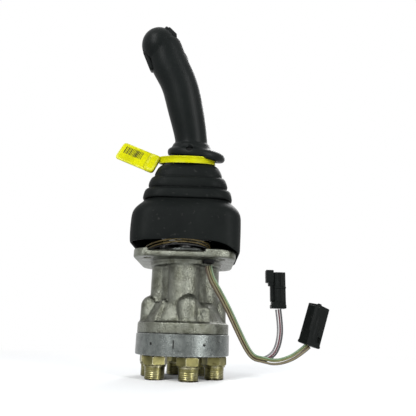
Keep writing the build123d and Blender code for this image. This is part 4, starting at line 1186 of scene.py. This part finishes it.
def blocks_at(axes, *rows):
    """Boxes with rounded edges, each with its size, centre and bevel in millimetres."""
    return [box_mesh("block", size, axes @ shift(*centre), bevel) for size, centre, bevel in rows]


def moulded_plug(name, blocks, replaced):
    first, *others = blocks
    first.name = name
    piece = moulded(join_meshes(first, *others), MOULD_CELL, 2)
    piece.data.materials.clear()
    piece.data.materials.append(PLUG)
    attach(piece, "valve")
    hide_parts(replaced)
    return piece


# %% Slim plug with its sprung latch
def make_plug_a():
    rows = [((13.4, 10.8, 3.4), (0, 0, 2.0), 0.6), ((12.4, 10.0, 3.4), (0.2, 0, 4.4), 0.5),
            ((10.2, 8.6, 27.4), (1.4, 0, 18.7), 0.6), ((10.6, 9.6, 1.6), (1.4, -0.2, 18.6), 0.4)]
    for x in (-1.4, 3.2):
        rows += [((3.4, 3.0, 13.4), (x, -4.0, 25.6), 1.0), ((2.6, 2.4, 12.0), (x, -4.0, 11.6), 0.8)]
    rows += [((1.2, 1.6, 3.6), (x, -5.0, 3.4), 0.3) for x in (-5.6, -2.2, 1.4, 5.2)]
    return moulded_plug("plug_a", blocks_at(PLUG_A_AT, *rows), "connector_a_housing")


def make_latch():
    inner = 1.4 - 5.1
    rows = [((3.2, 5.8, 28.2), (inner - 1.6, 0, 20.2), 0.5), ((7.0, 7.8, 11.4), (inner - 3.6, 0, 28.6), 0.7),
            ((5.0, 6.6, 3.2), (inner - 2.4, 0, 21.6), 0.5)]
    rows += [((0.7, 6.8, 0.8), (inner - 6.9, 0, z), 0.2) for z in (31.6, 29.8, 28.0)]
    return moulded_plug("plug_a_clip", blocks_at(PLUG_A_AT, *rows), "connector_a_latch")


plug_a = make_plug_a()
latch = make_latch()


# %% Open plug with its socket
def make_plug_b():
    half = 18.0
    shell, socket, window, slot = blocks_at(
        PLUG_B_AT, ((15.4, 12.0, 2 * half), (0, 0, 0), 0.9), ((12.4, 9.0, 30.0), (0, 0, half), 0.6),
        ((3.4, 3.0, 5.0), (3.6, -6.0, -11.0), 0.3), ((1.0, 1.4, 16.0), (1.0, -6.2, -8.0), 0.2))
    for cutter in (socket, window, slot):
        shell = cut_away(shell, cutter)
    details = blocks_at(
        PLUG_B_AT, ((1.2, 9.4, 22.0), (-7.9, 0, 5.0), 0.4), ((3.4, 2.4, 5.0), (-5.4, -5.6, half - 1.8), 0.5),
        ((15.8, 12.4, 2.2), (0, 0, -half + 1.4), 0.5), ((1.2, 0.9, 20.0), (-3.2, -6.2, -2.0), 0.3))
    return moulded_plug("plug_b", [shell, *details], "connector_b_housing")


plug_b = make_plug_b()

# %% [markdown]

# %% [markdown]
# ## Small dark parts, and painted shade in the pin holes
# A rubber bushing lines the hole that the wires leave by, and the port plate has a short witness
# mark that shows how it was lined up with the body.  A dark disc standing just proud of the rim
# paints the shade inside each pin hole.

# %% Bushing
BUSHING = [(3.9, 6.6), (5.4, 6.6), (5.4, -2.2), (4.4, -2.6), (3.7, -2.2), (3.5, 2.0), (0.4, 2.4)]
bushing = lathe("wire_bushing", BUSHING, 40, (22, -27))
bushing.data.materials.append(SEAL)
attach(bushing, "valve")
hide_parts("harness_grommet")

# %% Witness mark on the port plate
MARK_CLOCK, MARK_LEVEL, MARK_SUNK = -97.5, -73.6, 0.03
MARK_SIZE = (0.3, 1.1, 7.0)
mark_place = turn_about("Z", MARK_CLOCK) @ shift(PLATE_RADIUS / MM - MARK_SUNK, 0, MARK_LEVEL)
mark = box_mesh("witness_mark", MARK_SIZE, mark_place, 0.1)
mark.data.materials.append(SEAL)
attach(mark, "valve")

# %% Painted shade: dark discs over the pin holes in the plate's rim
PIN_HOLE_CLOCKS = (-126.0, -62.0)
PIN_HOLE_LEVEL = -73.5
PIN_HOLE_SHADE = [(0.3, 0.02), (1.15, 0.0), (1.15, -0.8)]
PIN_HOLE_SHADE_PROUD = 0.12
# Each disc is painted shade: a dark disc set just proud of the rim where a pin hole is.
for index, clock in enumerate(PIN_HOLE_CLOCKS):
    hole_shade = lathe(f"pin_hole_shade_{index + 1}", PIN_HOLE_SHADE, 16)
    moved(hole_shade, turn_about("Z", clock) @ shift(PLATE_RADIUS / MM + PIN_HOLE_SHADE_PROUD, 0, PIN_HOLE_LEVEL)
          @ turn_about("Y", 90))
    hole_shade.data.materials.append(SEAL)
    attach(hole_shade, "valve")

# %% [markdown]
# ## Finishes of the remaining working pieces
# Pieces whose solids already look right keep their construction mesh and only take a finish.

# %% Materials for construction nodes
SLOT_FINISH = {
    "cast_aluminium": CAST, "machined_aluminium": MACHINED, "plated_fitting": PLATED,
    "bright_steel": STEEL, "spring_steel": SPRING_STEEL, "seal_rubber": SEAL, "boot_rubber": BOOT,
    "grip_rubber": GRIP, "switch_plastic": SWITCH, "tag_plastic": YELLOW, "connector_plastic": PLUG,
    "contact_tin": TIN, "wire_insulation": WIRE_COLOURS["black"]}
BLACKENED = ("trigger_pin", "grip_screw")


def paint_nodes():
    painted = 0
    for name, solid in NODES.items():
        materials = solid.data.materials
        kind = materials[0].name.split(".")[0] if materials else None
        if name in BLACKENED:
            materials[0] = SEAL
        elif kind in SLOT_FINISH:
            materials[0] = SLOT_FINISH[kind]
            painted += 1
        else:
            print("no finish for", name, [m.name for m in materials])
    print("painted", painted)


paint_nodes()
